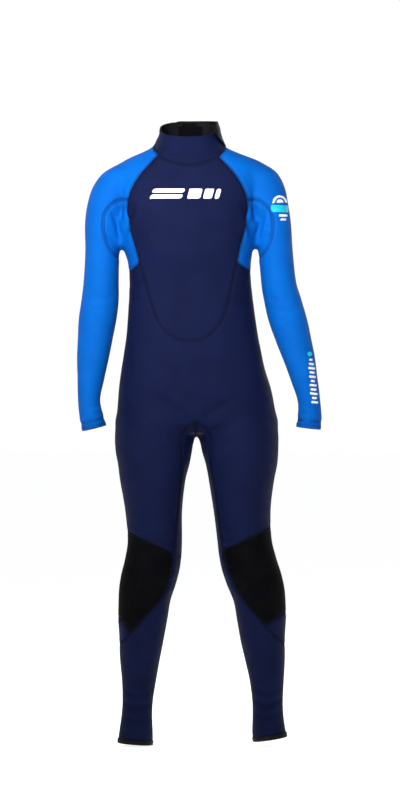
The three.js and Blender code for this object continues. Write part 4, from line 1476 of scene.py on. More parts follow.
FINISHES = (
    Jersey("navy_jersey", linear(16, 25, 64), linear(8, 13, 41), 0.01),
    Jersey("blue_jersey", linear(0, 98, 188), linear(0, 78, 164), 0.0, 0.64),
    Jersey("lining_jersey", linear(26, 27, 32), linear(16, 17, 21), 0.15, 0.75, 1.2, 1.0),
    Tough("black_jersey", linear(13, 13, 15), linear(5, 5, 7)),
    Rubber("foam_edge", linear(16, 16, 18), linear(9, 9, 10), 0.75),
    Rubber("black_rubber", linear(11, 11, 13), linear(5, 5, 6), 0.6),
    Tough("hook_and_loop", linear(30, 30, 32), linear(14, 14, 16), 0.9, 0.9),
    Woven("zip_tape", linear(26, 27, 32), linear(12, 13, 16)),
    Rubber("zip_nylon", linear(28, 28, 31), linear(16, 16, 18), 0.3),
    Metal("zip_metal", (0.62, 0.63, 0.65), (0.5, 0.51, 0.53)),
    Thread("navy_thread", linear(12, 17, 44), linear(6, 9, 26)),
    Thread("deep_blue_thread", linear(0, 52, 134), linear(0, 36, 100)),
    Thread("black_thread", linear(22, 22, 25), linear(10, 10, 12)),
    Print("white_print", linear(240, 242, 245), linear(214, 219, 228)),
    Print("teal_print", linear(26, 196, 214), linear(12, 168, 190)),
)


class Wardrobe:
    """Every material of the suit, by name."""

    def __init__(self) -> None:
        """Makes all the materials once."""
        self.made = {finish.name: finish.material() for finish in FINISHES}

    def __getitem__(self, name: str) -> Material:
        """The material of that name."""
        return self.made[name]


# ---------------------------------------------------------------- meshes


def placed(name: str, data: bpy.types.ID) -> Piece:
    """A new object in the scene, at the origin."""
    piece = bpy.data.objects.new(name, data)
    bpy.context.scene.collection.objects.link(piece)
    return piece


def faced_out(piece: Piece) -> Piece:
    """The same piece with its faces turned outwards."""
    work = bmesh.new()
    work.from_mesh(piece.data)
    bmesh.ops.recalc_face_normals(work, faces=work.faces)
    work.to_mesh(piece.data)
    work.free()
    return piece


def thickened(faces: Array, count: int) -> Tuple[Array, int]:
    """A sheet's face and lining, and the walls that join them at its open edges.

    Args:
        faces: The triangles of the face.
        count: How many points it has. The lining's points follow them in the same order.

    Returns:
        All the triangles, and the number of open edges.
    """
    edges = np.stack([faces, np.roll(faces, -1, axis=1)], 2).reshape(-1, 2)
    _, index, times = np.unique(np.sort(edges, 1), axis=0, return_index=True,
                                return_counts=True)
    start, end = edges[index[times == 1]].T
    walls = [np.stack([end, start, start + count], 1),
             np.stack([end, start + count, end + count], 1)]
    return np.vstack([faces, faces[:, ::-1] + count] + walls), len(start)


def new_mesh(name: str, points: Array, faces: Sequence[Sequence[int]],
             uv: Optional[Array] = None) -> Piece:
    """A smooth object from points in millimetres.

    Args:
        name: Its name.
        points: The points.
        faces: The faces, as an array of triangles or quads or as lists.
        uv: A UV pair in metres for each face corner.

    Returns:
        The object, in the scene.
    """
    mesh = bpy.data.meshes.new(name)
    if isinstance(faces, np.ndarray):
        corners = faces.shape[1]
        mesh.vertices.add(len(points))
        mesh.vertices.foreach_set("co", (points * MM).astype(np.float32).ravel())
        mesh.loops.add(faces.size)
        mesh.loops.foreach_set("vertex_index", faces.astype(np.int32).ravel())
        mesh.polygons.add(len(faces))
        mesh.polygons.foreach_set("loop_start", np.arange(0, faces.size, corners, dtype=np.int32))
        mesh.update(calc_edges=True)
    else:
        mesh.from_pydata((points * MM).tolist(), [], faces)
    mesh.validate()
    mesh.polygons.foreach_set("use_smooth", np.ones(len(mesh.polygons), bool))
    if uv is not None:
        layer = mesh.uv_layers.new(name="UVMap")
        layer.data.foreach_set("uv", uv.astype(np.float32).ravel())
    return placed(name, mesh)


def sharpen(piece: Piece, degrees: float) -> None:
    """Marks the edges whose faces turn more than an angle as sharp."""
    piece.data.set_sharp_from_angle(angle=math.radians(degrees))


def settle(piece: Piece, body: str, slot: str, *nodes: str) -> None:
    """Puts a finished piece on its body.

    Args:
        piece: The piece.
        body: The CAD body it moves with.
        slot: The name of the piece's finish; not used.
        nodes: The CAD nodes it stands for.
    """
    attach(piece, body)
    if nodes:
        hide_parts(*nodes)
    log.info("%s rides on %s: %d faces", piece.name, body, len(piece.data.polygons))


def loft(name: str, rings: Array, close_ends: bool = True,
         closed_round: bool = False) -> Piece:
    """A skin over closed rings.

    Args:
        name: The object's name.
        rings: Rings, points and coordinates; each ring turns the same way.
        close_ends: Whether the first and last ring get a cap.
        closed_round: Whether the last ring joins the first.

    Returns:
        The object, with a UV map measured along and round it.
    """
    count, around = rings.shape[:2]
    points = rings.reshape(-1, 3)
    last = count if closed_round else count - 1
    i = np.arange(last)[:, None]
    j = np.arange(around)[None, :]
    k, n = (j + 1) % around, (i + 1) % count
    faces = np.stack([i * around + j, i * around + k, n * around + k, n * around + j], 2)
    along = np.concatenate([[0], np.cumsum(np.linalg.norm(np.diff(rings[:, 0], axis=0), axis=1))])
    step = np.linalg.norm(np.roll(rings[0], -1, 0) - rings[0], axis=1)
    round_ = np.concatenate([[0], np.cumsum(step)])
    v0 = along[:last]
    v1 = np.append(along[1:], along[-1]) if closed_round else along[1:last + 1]
    uv = np.zeros((last, around, 4, 2))
    uv[..., 0, 0] = uv[..., 3, 0] = round_[:-1]
    uv[..., 1, 0] = uv[..., 2, 0] = round_[1:]
    uv[..., 0, 1] = uv[..., 1, 1] = v0[:, None]
    uv[..., 2, 1] = uv[..., 3, 1] = v1[:, None]
    quads = faces.reshape(-1, 4).tolist()
    pairs = [tuple(map(tuple, block)) for block in (uv.reshape(-1, 4, 2) * MM).tolist()]
    if close_ends and not closed_round:
        for ring in (list(range(around))[::-1], list(range((count - 1) * around, count * around))):
            quads.append(ring)
            pairs.append(tuple((0.0, 0.0) for _ in ring))
    piece = new_mesh(name, points, quads)
    layer = piece.data.uv_layers.new(name="UVMap")
    layer.data.foreach_set("uv", np.array([n for block in pairs for pair in block for n in pair],
                                          np.float32))
    return faced_out(piece)


def rounded_strip(x0: float, x1: float, out0: float, out1: float, radius: float,
                  corner: int = 3) -> List[Tuple[float, float]]:
    """A rectangle's outline with rounded corners, counter-clockwise."""
    r = min(radius, abs(x1 - x0) / 2.01, abs(out1 - out0) / 2.01)
    made = []
    for cx, cy, start in ((x1 - r, out0 + r, -90), (x1 - r, out1 - r, 0), (x0 + r, out1 - r, 90),
                          (x0 + r, out0 + r, 180)):
        for n in range(corner + 1):
            a = math.radians(start + 90 * n / corner)
            made.append((cx + r * math.cos(a), cy + r * math.sin(a)))
    return made


def dress(piece: Piece, *materials: Material) -> None:
    """Gives a piece its materials."""
    piece.data.materials.clear()
    for material in materials:
        piece.data.materials.append(material)


def outcome(piece: Piece) -> Piece:
    """Turns a piece with modifiers into a plain mesh of the same name."""
    graph = bpy.context.evaluated_depsgraph_get()
    mesh = bpy.data.meshes.new_from_object(piece.evaluated_get(graph), depsgraph=graph)
    piece.modifiers.clear()
    old, piece.data = piece.data, mesh
    mesh.name = piece.name
    bpy.data.meshes.remove(old)
    return piece


# ---------------------------------------------------------------- repeats


class Repeater:
    """Geometry Nodes that repeat one small unit along paths on a surface."""

    def __init__(self) -> None:
        """Builds the tree once."""
        tree = bpy.data.node_groups.new("repeat_along_paths", "GeometryNodeTree")
        for name, kind in (("Paths", "Geometry"), ("Pitch", "Float"), ("Size", "Float"),
                           ("Unevenness", "Float"), ("Unit", "Object"), ("Finish", "Material")):
            tree.interface.new_socket(name, in_out="INPUT", socket_type=f"NodeSocket{kind}")
        tree.interface.new_socket("Pieces", in_out="OUTPUT", socket_type="NodeSocketGeometry")
        made = {name: tree.nodes.new(kind) for name, kind in (
            ("source", "NodeGroupInput"), ("result", "NodeGroupOutput"),
            ("curve", "GeometryNodeMeshToCurve"), ("even", "GeometryNodeResampleCurve"),
            ("facing", "GeometryNodeInputNamedAttribute"), ("tangent", "GeometryNodeInputTangent"),
            ("turn", "FunctionNodeAxesToRotation"), ("unit", "GeometryNodeObjectInfo"),
            ("chance", "FunctionNodeRandomValue"), ("less", "ShaderNodeMath"),
            ("more", "ShaderNodeMath"), ("scale", "ShaderNodeMath"),
            ("place", "GeometryNodeInstanceOnPoints"), ("real", "GeometryNodeRealizeInstances"),
            ("paint", "GeometryNodeSetMaterial"), ("smooth", "GeometryNodeSetShadeSmooth"))}
        for name, setting, value in (
            ("even", "mode", "LENGTH"), ("facing", "data_type", "FLOAT_VECTOR"),
            ("turn", "primary_axis", "Z"), ("turn", "secondary_axis", "X"),
            ("chance", "data_type", "FLOAT"), ("less", "operation", "SUBTRACT"),
            ("more", "operation", "ADD"), ("scale", "operation", "MULTIPLY")):
            setattr(made[name], setting, value)
        made["facing"].inputs["Name"].default_value = "facing"
        made["chance"].inputs["Seed"].default_value = 7
        for name in ("less", "more"):
            made[name].inputs[0].default_value = 1.0
        # The random value's inputs 2 and 3 are its least and most as numbers, and 1 its result.
        for name, output, onward, entry in (
            ("source", "Paths", "curve", "Mesh"), ("curve", "Curve", "even", "Curve"),
            ("source", "Pitch", "even", "Length"), ("facing", "Attribute", "turn", "Primary Axis"),
            ("tangent", "Tangent", "turn", "Secondary Axis"), ("source", "Unit", "unit", "Object"),
            ("source", "Unevenness", "less", 1), ("source", "Unevenness", "more", 1),
            ("less", 0, "chance", 2), ("more", 0, "chance", 3), ("source", "Size", "scale", 0),
            ("chance", 1, "scale", 1), ("even", "Curve", "place", "Points"),
            ("unit", "Geometry", "place", "Instance"), ("turn", "Rotation", "place", "Rotation"),
            ("scale", 0, "place", "Scale"), ("place", "Instances", "real", "Geometry"),
            ("real", "Geometry", "smooth", "Geometry"),
            ("smooth", "Geometry", "paint", "Geometry"), ("source", "Finish", "paint", "Material"),
            ("paint", "Geometry", "result", "Pieces")):
            tree.links.new(made[name].outputs[output], made[onward].inputs[entry])
        self.tree = tree

    def along(self, name: str, paths: Iterable[Line], unit_piece: Piece,
              pitch: float, finish: Material, size: float = 1.0,
              unevenness: float = 0.03) -> Piece:
        """Repeats a unit along paths, as one plain mesh.

        Args:
            name: The new piece's name.
            paths: Lines of points in millimetres, each with its outward directions.
            unit_piece: The unit, with X along the path and Z outwards.
            pitch: How far apart the units are.
            finish: Their material.
            size: Their scale.
            unevenness: How much their sizes differ.

        Returns:
            The piece.
        """
        points, facings, edges = [], [], []
        for line, facing in paths:
            start = len(points)
            points += (line * MM).tolist()
            facings += facing.tolist()
            edges += [(start + i, start + i + 1) for i in range(len(line) - 1)]
        mesh = bpy.data.meshes.new(name)
        mesh.from_pydata(points, edges, [])
        out = mesh.attributes.new("facing", "FLOAT_VECTOR", "POINT")
        out.data.foreach_set("vector", np.array(facings, np.float32).ravel())
        piece = placed(name, mesh)
        modifier = piece.modifiers.new("repeat", "NODES")
        modifier.node_group = self.tree
        wanted = {"Pitch": pitch * MM, "Size": size, "Unevenness": unevenness,
                  "Unit": unit_piece, "Finish": finish}
        for item in self.tree.interface.items_tree:
            if item.name in wanted and item.in_out == "INPUT":
                modifier[item.identifier] = wanted[item.name]
        outcome(piece)
        attribute = piece.data.attributes.get("facing")
        if attribute is not None:
            piece.data.attributes.remove(attribute)
        return piece


def thread_run(points: Array, radius: float, sides: int = 5) -> Tuple[Array, List[List[int]]]:
    """A short length of thread with closed, tapered ends.

    Args:
        points: The points it follows.
        radius: Its radius.
        sides: How many sides it has.

    Returns:
        Its points and faces.
    """
    tangents = unit(np.gradient(points, axis=0))
    made, faces = [], []
    for n, (p, t) in enumerate(zip(points, tangents)):
        a = unit(np.cross(t, [0.0, 0.3, 1.0]))
        b = np.cross(a, t)
        r = radius * (0.55 if n in (0, len(points) - 1) else 1)
        angles = 2 * math.pi * np.arange(sides) / sides
        made.append(p + r * (np.cos(angles)[:, None] * a + np.sin(angles)[:, None] * b))
    for n in range(len(points) - 1):
        for k in range(sides):
            m = (k + 1) % sides
            faces.append([n * sides + k, n * sides + m, (n + 1) * sides + m, (n + 1) * sides + k])
    last = (len(points) - 1) * sides
    faces.append(list(range(sides))[::-1])
    faces.append([last + k for k in range(sides)])
    return np.vstack(made), faces


def unit_of(name: str, runs: Sequence[Tuple[Array, float]], sides: int = 5) -> Piece:
    """A stitch made of several runs of thread."""
    points, faces, start = [], [], 0
    for line, radius in runs:
        p, f = thread_run(np.array(line, float), radius, sides)
        points.append(p)
        faces += [[i + start for i in face] for face in f]
        start += len(p)
    piece = new_mesh(name, np.vstack(points), faces)
    return faced_out(piece)


def flatlock_unit() -> Piece:
    """One stitch of a flatlock seam: two needle rows joined by crossing threads."""
    rows = [([(-1.5, y, -0.55), (-1.0, y, -0.16), (1.0, y, -0.16), (1.5, y, -0.55)], 0.42)
            for y in (-2.5, 2.5)]
    crossing = [
        ([(-1.4, -2.2, -0.4), (-0.3, -0.8, -0.5), (0.5, 0.8, -0.5), (1.4, 2.2, -0.4)], 0.24),
        ([(1.4, -2.2, -0.4), (0.5, -0.8, -0.62), (-0.3, 0.8, -0.62), (-1.4, 2.2, -0.4)], 0.24)]
    return unit_of("flatlock_unit", rows + crossing, 4)


def lockstitch_unit() -> Piece:
    """One stitch of a plain row."""
    run = [(-1.1, 0, -0.25), (-0.75, 0, 0.08), (0.75, 0, 0.08), (1.1, 0, -0.25)]
    return unit_of("lockstitch_unit", [(run, 0.26)])


# ---------------------------------------------------------------- panels


@dataclass
class Panels:
    """The suit's sewn panels, as solid sheets of lined neoprene."""

    skin: Skin
    wardrobe: Wardrobe
    lining_depth: float = NEOPRENE
    raised: Array = field(init=False)
    facing: Array = field(init=False)
    tree: kdtree.KDTree = field(init=False)
    seams: List[Tuple[List[int], Tuple[int, int]]] = field(init=False)

    FACES = {"sleeve": "blue_jersey", "underarm": "blue_jersey", "wrist": "blue_jersey",
             "knee": "black_jersey"}

    def __post_init__(self) -> None:
        """Raises the relief on the skin."""
        skin = self.skin
        self.seams = skin.seams()
        samples = []
        for chain, _ in self.seams:
            line = skin.points[chain]
            samples += [line, (line[:-1] + line[1:]) / 2]
        out = skin.relief(skin.points, np.vstack(samples))
        hold = self.calm(skin.points)
        self.raised = skin.points + skin.outward * (out * hold)[:, None]
        self.facing = skin.normals(self.raised)
        used = np.unique(skin.triangles)
        ends = used[(skin.points[used, 2] > -40) | (skin.points[used, 2] < -440)]
        self.tree = kdtree.KDTree(int(ends.max()) + 1)
        for n in ends.tolist():
            self.tree.insert(skin.points[n], n)
        self.tree.balance()

    @staticmethod
    def calm(p: Array) -> Array:
        """1 where the relief is free, and 0 beside the zip, whose parts lie on one arc."""
        beside = 1 - ramp(np.abs(p[:, 0]), 13, 30)
        on_back = (p[:, 1] > 30) & (p[:, 2] > -330)
        return np.where(on_back, 1 - beside, 1.0)

    def finish_of(self, panel: Panel) -> str:
        """The name of a panel's face material."""
        return self.FACES.get(panel.value.split("_")[0], "navy_jersey")

    def build(self) -> None:
        """Makes every panel."""
        for panel in Panel:
            self.piece(panel)

    def uv(self, corners: Array, code: int) -> Array:
        """A UV pair in metres for each corner of triangles: round the tube, and up it."""
        skin = self.skin
        p = self.raised[corners]
        middle = p.mean(1)
        side = skin.pattern.side_of(middle)
        name = PANEL_ORDER[code].value
        cx, cy = skin.form.trunk.section(np.clip(middle[:, 2], HIPS, NECK_TOP)).T[:2]
        radius = np.full(len(middle), TRUNK_RADIUS)
        for s in Side:
            arm = name.split("_")[0] in ("sleeve", "wrist") and name.endswith(s.word)
            own = np.full(len(middle), arm) if arm else (middle[:, 2] < HIPS) & (side == s.value)
            section = (skin.form.arms if arm else skin.form.legs)[s].section(middle[:, 2])
            cx = np.where(own, section[:, 0], cx)
            cy = np.where(own, section[:, 1], cy)
            radius = np.where(own, ARM_RADIUS if arm else LEG_RADIUS, radius)
        angle = np.arctan2(p[..., 0] - cx[:, None], cy[:, None] - p[..., 1])
        whole = 2 * math.pi
        usual = math.atan2(np.sin(angle).mean(), np.cos(angle).mean())
        first = (angle[:, :1] - usual + math.pi) % whole - math.pi
        angle = first + (angle - angle[:, :1] + math.pi) % whole - math.pi
        return np.stack([angle * radius[:, None], p[..., 2]], 2) * MM

    def piece(self, panel: Panel) -> None:
        """One panel: its face, its lining and the cut edge between them."""
        skin, code = self.skin, CODE[panel]
        faces = skin.triangles[skin.codes == code]
        used, local = np.unique(faces, return_inverse=True)
        local = local.reshape(-1, 3)
        outer = self.raised[used]
        inner = skin.points[used] - skin.outward[used] * self.lining_depth
        whole, rim = thickened(local, len(used))
        face_uv = self.uv(faces, code)
        wall_uv = np.zeros((2 * rim, 3, 2))
        uv = np.vstack([face_uv, face_uv[:, ::-1], wall_uv])
        piece = new_mesh(f"{panel.value}_cloth", np.vstack([outer, inner]), whole,
                         uv.reshape(-1, 2))
        dress(piece, self.wardrobe[self.finish_of(panel)], self.wardrobe["lining_jersey"],
              self.wardrobe["foam_edge"])
        index = np.concatenate([np.zeros(len(local)), np.ones(len(local)),
                                np.full(2 * rim, 2)]).astype(np.int32)
        piece.data.polygons.foreach_set("material_index", index)
        self.mark_rims(piece, index)
        settle(piece, "suit", self.finish_of(panel), panel.value)

    @staticmethod
    def mark_rims(piece: Piece, index: Array) -> None:
        """Makes the edges between face, cut edge and lining sharp."""
        mesh = piece.data
        corner_edges = np.zeros(len(mesh.loops), np.int32)
        mesh.loops.foreach_get("edge_index", corner_edges)
        low = np.full(len(mesh.edges), 9)
        high = np.full(len(mesh.edges), -1)
        owner = np.repeat(index, 3)
        np.minimum.at(low, corner_edges, owner)
        np.maximum.at(high, corner_edges, owner)
        sharp = mesh.attributes.new("sharp_edge", "BOOLEAN", "EDGE")
        sharp.data.foreach_set("value", low != high)

    def on_skin(self, line: Array, out: float) -> Tuple[Array, Array]:
        """A line landed on the cloth, a little outside it, with its outward directions."""
        landed = self.skin.form.land(line, 3, 0.0)
        facing = unit(self.skin.form.sample(landed)[1])
        lift = np.array([self.lift_near(point) for point in landed])
        lift = even_out(lift[:, None], 4, False)[:, 0]
        return landed + facing * (lift + out)[:, None], facing

    def lift_near(self, point: Array) -> float:
        """How far the cloth stands out from the form near a point."""
        near = self.tree.find(point)[1]
        return float((self.raised[near] - self.skin.points[near]) @ self.skin.outward[near])


@dataclass
class Stitching:
    """The suit's flatlock seams and its plain rows of stitches."""

    panels: Panels
    wardrobe: Wardrobe
    repeater: Repeater
    pitch: float = 3.3
    sunk: float = 0.92  # how far the seam lies below the cloth's face

    STRETCHES = (("upper", -215), ("waist", -470), ("thigh", -690), ("shin", -math.inf))

    def colour_of(self, codes: Tuple[int, int]) -> str:
        """The thread for a seam between two panels."""
        names = {self.panels.finish_of(PANEL_ORDER[code]) for code in codes}
        if names == {"blue_jersey"}:
            return "deep_blue_thread"
        return "navy_thread"

    def build(self) -> None:
        """Sews every seam, in one piece for each stretch of the suit."""
        groups: Dict[Tuple[str, str], List[Line]] = {}
        skin = self.panels.skin
        for chain, codes in self.panels.seams:
            closed = chain[0] == chain[-1]
            line = even_out(self.panels.raised[chain], 6, closed)
            line = line + skin.outward[chain] * self.sunk
            facing = unit(even_out(skin.outward[chain], 6, closed))
            z = line[:, 2].mean()
            part = next(name for name, foot in self.STRETCHES if z > foot)
            groups.setdefault((part, self.colour_of(codes)), []).append((line, facing))
        stitch = flatlock_unit()
        for (part, thread), paths in sorted(groups.items(), key=lambda item: item[0]):
            piece = self.repeater.along(f"seam_stitching_{part}_{thread.split('_')[0]}", paths,
                                        stitch, self.pitch, self.wardrobe[thread], 1.0, 0.04)
            settle(piece, "suit", "")
        bpy.data.objects.remove(stitch)
        self.rows()

    def rows(self) -> None:
        """The plain rows below the collar's edge and above the cuffs' edges."""
        skin = self.panels.skin
        form = skin.form
        navy, blue = [], []
        height, slope = COLLAR_TOP
        for rim in skin.rims():
            line = skin.points[rim]
            top = line[:, 2] > height + slope * line[:, 1] - 0.5
            if line[:, 2].max() > 0:
                keep = line[top & (np.abs(line[:, 0]) + np.where(line[:, 1] > 0, 0, 99) > 11)]
                angles = np.argsort(np.arctan2(keep[:, 0], -keep[:, 1]))
                ring = keep[angles] - np.array([0, 0, 4.0])
                navy.append(self.panels.on_skin(even_out(ring, 8, False), 0.25))
        for s in Side:
            turns = np.linspace(0, 2 * math.pi, 73)
            tube = form.arms[s]
            for up in (3.2, 5.4):
                ring = tube.rim(ARM_END + up, turns, 0)
                blue.append(self.panels.on_skin(ring, 0.3))
        stitch = lockstitch_unit()
        for name, paths, thread in (("collar_topstitching", navy, "navy_thread"),
                                    ("cuff_topstitching", blue, "deep_blue_thread")):
            settle(self.repeater.along(name, paths, stitch, ROW_PITCH,
                                       self.wardrobe[thread]), "suit", "")
        bpy.data.objects.remove(stitch)


# ---------------------------------------------------------------- prints


@dataclass(frozen=True)
class Mark:
    """One plain printed shape, as an outline seen from the front."""

    outline: Path2
    finish: str


def slanted_bar(x: float, z: float, width: float, height: float, slant: float = 0.28,
                round_: float = 1.6) -> List[Tuple[float, float]]:
    """A slanted bar with rounded ends, from its lower left corner."""
    made = []
    for cx, cz, start in ((width - round_, round_, -90), (width - round_, height - round_, 0),
                          (round_, height - round_, 90), (round_, round_, 180)):
        for n in range(4):
            a = math.radians(start + 30 * n)
            u, w = cx + round_ * math.cos(a), cz + round_ * math.sin(a)
            made.append((x + u + slant * w, z + w))
    return made


def disc(x: float, z: float, radius: float, sides: int = 20) -> List[Tuple[float, float]]:
    """A round spot."""
    turns = [2 * math.pi * n / sides for n in range(sides)]
    return [(x + radius * math.cos(a), z + radius * math.sin(a)) for a in turns]


def along_arm(shape: Path2, x: float, z: float, degrees: float) -> List[Tuple[float, float]]:
    """A shape turned and moved to its place on a sleeve."""
    c, s = math.cos(math.radians(degrees)), math.sin(math.radians(degrees))
    return [(x + c * u - s * w, z + s * u + c * w) for u, w in shape]


@dataclass
class Prints:
    """Plain generic shapes printed on the chest and on the wearer's left sleeve."""

    panels: Panels
    wardrobe: Wardrobe
    lift: float = 0.1
    thickness: float = 0.16

    def chest(self) -> List[Mark]:
        """Two long slanted slats, and a row of slanted blocks that get narrower."""
        slats = [Mark(slanted_bar(x, z, 54, 6.8, 0.5, 2.4), "white_print")
                 for x, z in ((-64.5, -76.2), (-68.5, -86.2))]
        blocks = [Mark(slanted_bar(x, -86.4, width, 16.8, 0.28, 2.4), "white_print")
                  for x, width in ((-5, 22), (21.5, 15), (41, 7.5))]
        return slats + blocks

    def upper_arm(self) -> List[Mark]:
        """A white rising sun over a teal band, with two bars below it."""
        outer = [(12.5 * math.cos(a), 12.5 * math.sin(a)) for a in np.linspace(0, math.pi, 19)]
        inner = [(9 * math.cos(a), 9 * math.sin(a)) for a in np.linspace(math.pi, 0, 17)]
        dome = [(6 * math.cos(a), 6 * math.sin(a)) for a in np.linspace(0, math.pi, 15)]
        return [
            Mark(along_arm(outer + inner, 152.5, -91, 4), "white_print"),
            Mark(along_arm(dome, 152.5, -91, 4), "white_print"),
            Mark(slanted_bar(137, -107, 30, 12, 0.0, 2.4), "teal_print"),
            Mark(slanted_bar(150, -114.5, 15, 4, 0.2, 1.2), "white_print"),
            Mark(slanted_bar(153, -121, 10, 3.4, 0.2, 1.2), "white_print"),
        ]

    def forearm(self) -> List[Mark]:
        """A ladder of short rungs with one teal spot above them."""
        marks = [Mark(disc(203.0, -347, 4.0), "teal_print")]
        for n, width in enumerate((6, 9, 12, 9, 12, 7, 12, 10, 13, 8, 12)):
            z = -357 - 7.2 * n
            x = 204.0 + 0.085 * (-347 - z)
            rung = slanted_bar(-width / 2, -1.9, width, 3.8, 0, 1.2)
            marks.append(Mark(along_arm(rung, x, z, -6), "white_print"))
        return marks

    def build(self) -> None:
        """Prints every group of marks."""
        for name, panel, marks in (
            ("chest_print", Panel.CHEST, self.chest()),
            ("upper_sleeve_print", Panel.SLEEVE_LEFT, self.upper_arm()),
            ("forearm_print", Panel.SLEEVE_LEFT, self.forearm()),
        ):
            for finish in sorted({mark.finish for mark in marks}):
                same = [mark for mark in marks if mark.finish == finish]
                self.print_group(f"{name}_{finish.split('_')[0]}", panel, same, finish)

    def print_group(self, name: str, panel: Panel, marks: Sequence[Mark], finish: str) -> None:
        """One thin layer of ink for marks of one colour.

        Args:
            name: The piece's name.
            panel: The panel they are on.
            marks: The marks.
            finish: Their finish.
        """
        source = self.panels.skin
        ink = object.__new__(Skin)
        ink.form, ink.pattern = source.form, source.pattern
        outlines = [np.array(mark.outline) for mark in marks]
        everything = np.vstack(outlines)
        low, high = everything.min(0) - 6, everything.max(0) + 6
        middles = source.points[source.triangles].mean(1)
        limit = source.form.arms[Side.LEFT].section(middles[:, 2])[:, 1]
        front = np.where(middles[:, 0] > 120, middles[:, 1] < limit, middles[:, 1] < 0)
        near = (source.codes == CODE[panel]) & front
        near &= (middles[:, 0] > low[0]) & (middles[:, 0] < high[0])
        near &= (middles[:, 2] > low[1]) & (middles[:, 2] < high[1])
        used, local = np.unique(source.triangles[near], return_inverse=True)
        ink.triangles = local.reshape(-1, 3)
        ink.points = self.panels.raised[used].copy()
        ink.outward = self.panels.facing[used].copy()
        for outline in outlines:
            closed = np.vstack([outline, outline[:1]])
            ink.cut(lambda p, path=closed: from_path(path, p[:, 0], p[:, 2])[0],
                    lambda p, path=closed: from_path(path, p[:, 0], p[:, 2])[1] < 1.0)
        middles = ink.points[ink.triangles].mean(1)
        wanted = np.zeros(len(middles), bool)
        for outline in outlines:
            wanted |= inside(outline, middles[:, 0], middles[:, 2])
        faces = ink.triangles[wanted]
        if not len(faces):
            log.warning("%s has nothing to print on", name)
            return
        used, local = np.unique(faces, return_inverse=True)
        local = local.reshape(-1, 3)
        p, n = ink.points[used], ink.outward[used]
        points = np.vstack([p + n * (self.lift + self.thickness), p + n * 0.02])
        piece = new_mesh(name, points, thickened(local, len(used))[0])
        dress(piece, self.wardrobe[finish])
        sharpen(piece, 50)
        settle(piece, "suit", "")


# ---------------------------------------------------------------- the back zip


def on_arc(x: Array, out: Array, height: Array) -> Array:
    """Points on the zip's arc.

    Args:
        x: Across.
        out: How far out from the skin.
        height: The heights on the arc itself.

    Returns:
        The points.
    """
    turn = np.arcsin((np.asarray(height) - SPINE_Z) / SPINE_RADIUS)
    y = SPINE_Y + (SPINE_RADIUS + out) * np.cos(turn)
    z = SPINE_Z + (SPINE_RADIUS + out) * np.sin(turn)
    return np.stack(np.broadcast_arrays(x, y, z), -1).astype(float)


def arc_line(x: float, out: float, low: float, high: float, step: float = 4) -> Line:
    """A line up the arc and its outward directions."""
    heights = np.linspace(low, high, max(2, int((high - low) / step)))
    line = on_arc(x, out, heights)
    return line, unit(on_arc(x, out + 1, heights) - line)


def arc_strip(name: str, corners: Sequence[Tuple[float, float]], low: float, high: float,
              steps: int) -> Piece:
    """A strip of one section, as (x, out) corners, along the arc."""
    turns = np.linspace(math.asin((low - SPINE_Z) / SPINE_RADIUS),
                        math.asin((high - SPINE_Z) / SPINE_RADIUS), steps + 1)
    heights = SPINE_Z + SPINE_RADIUS * np.sin(turns)
    x, out = np.array(corners, float).T
    return loft(name, np.stack([on_arc(x, out, h) for h in heights]))


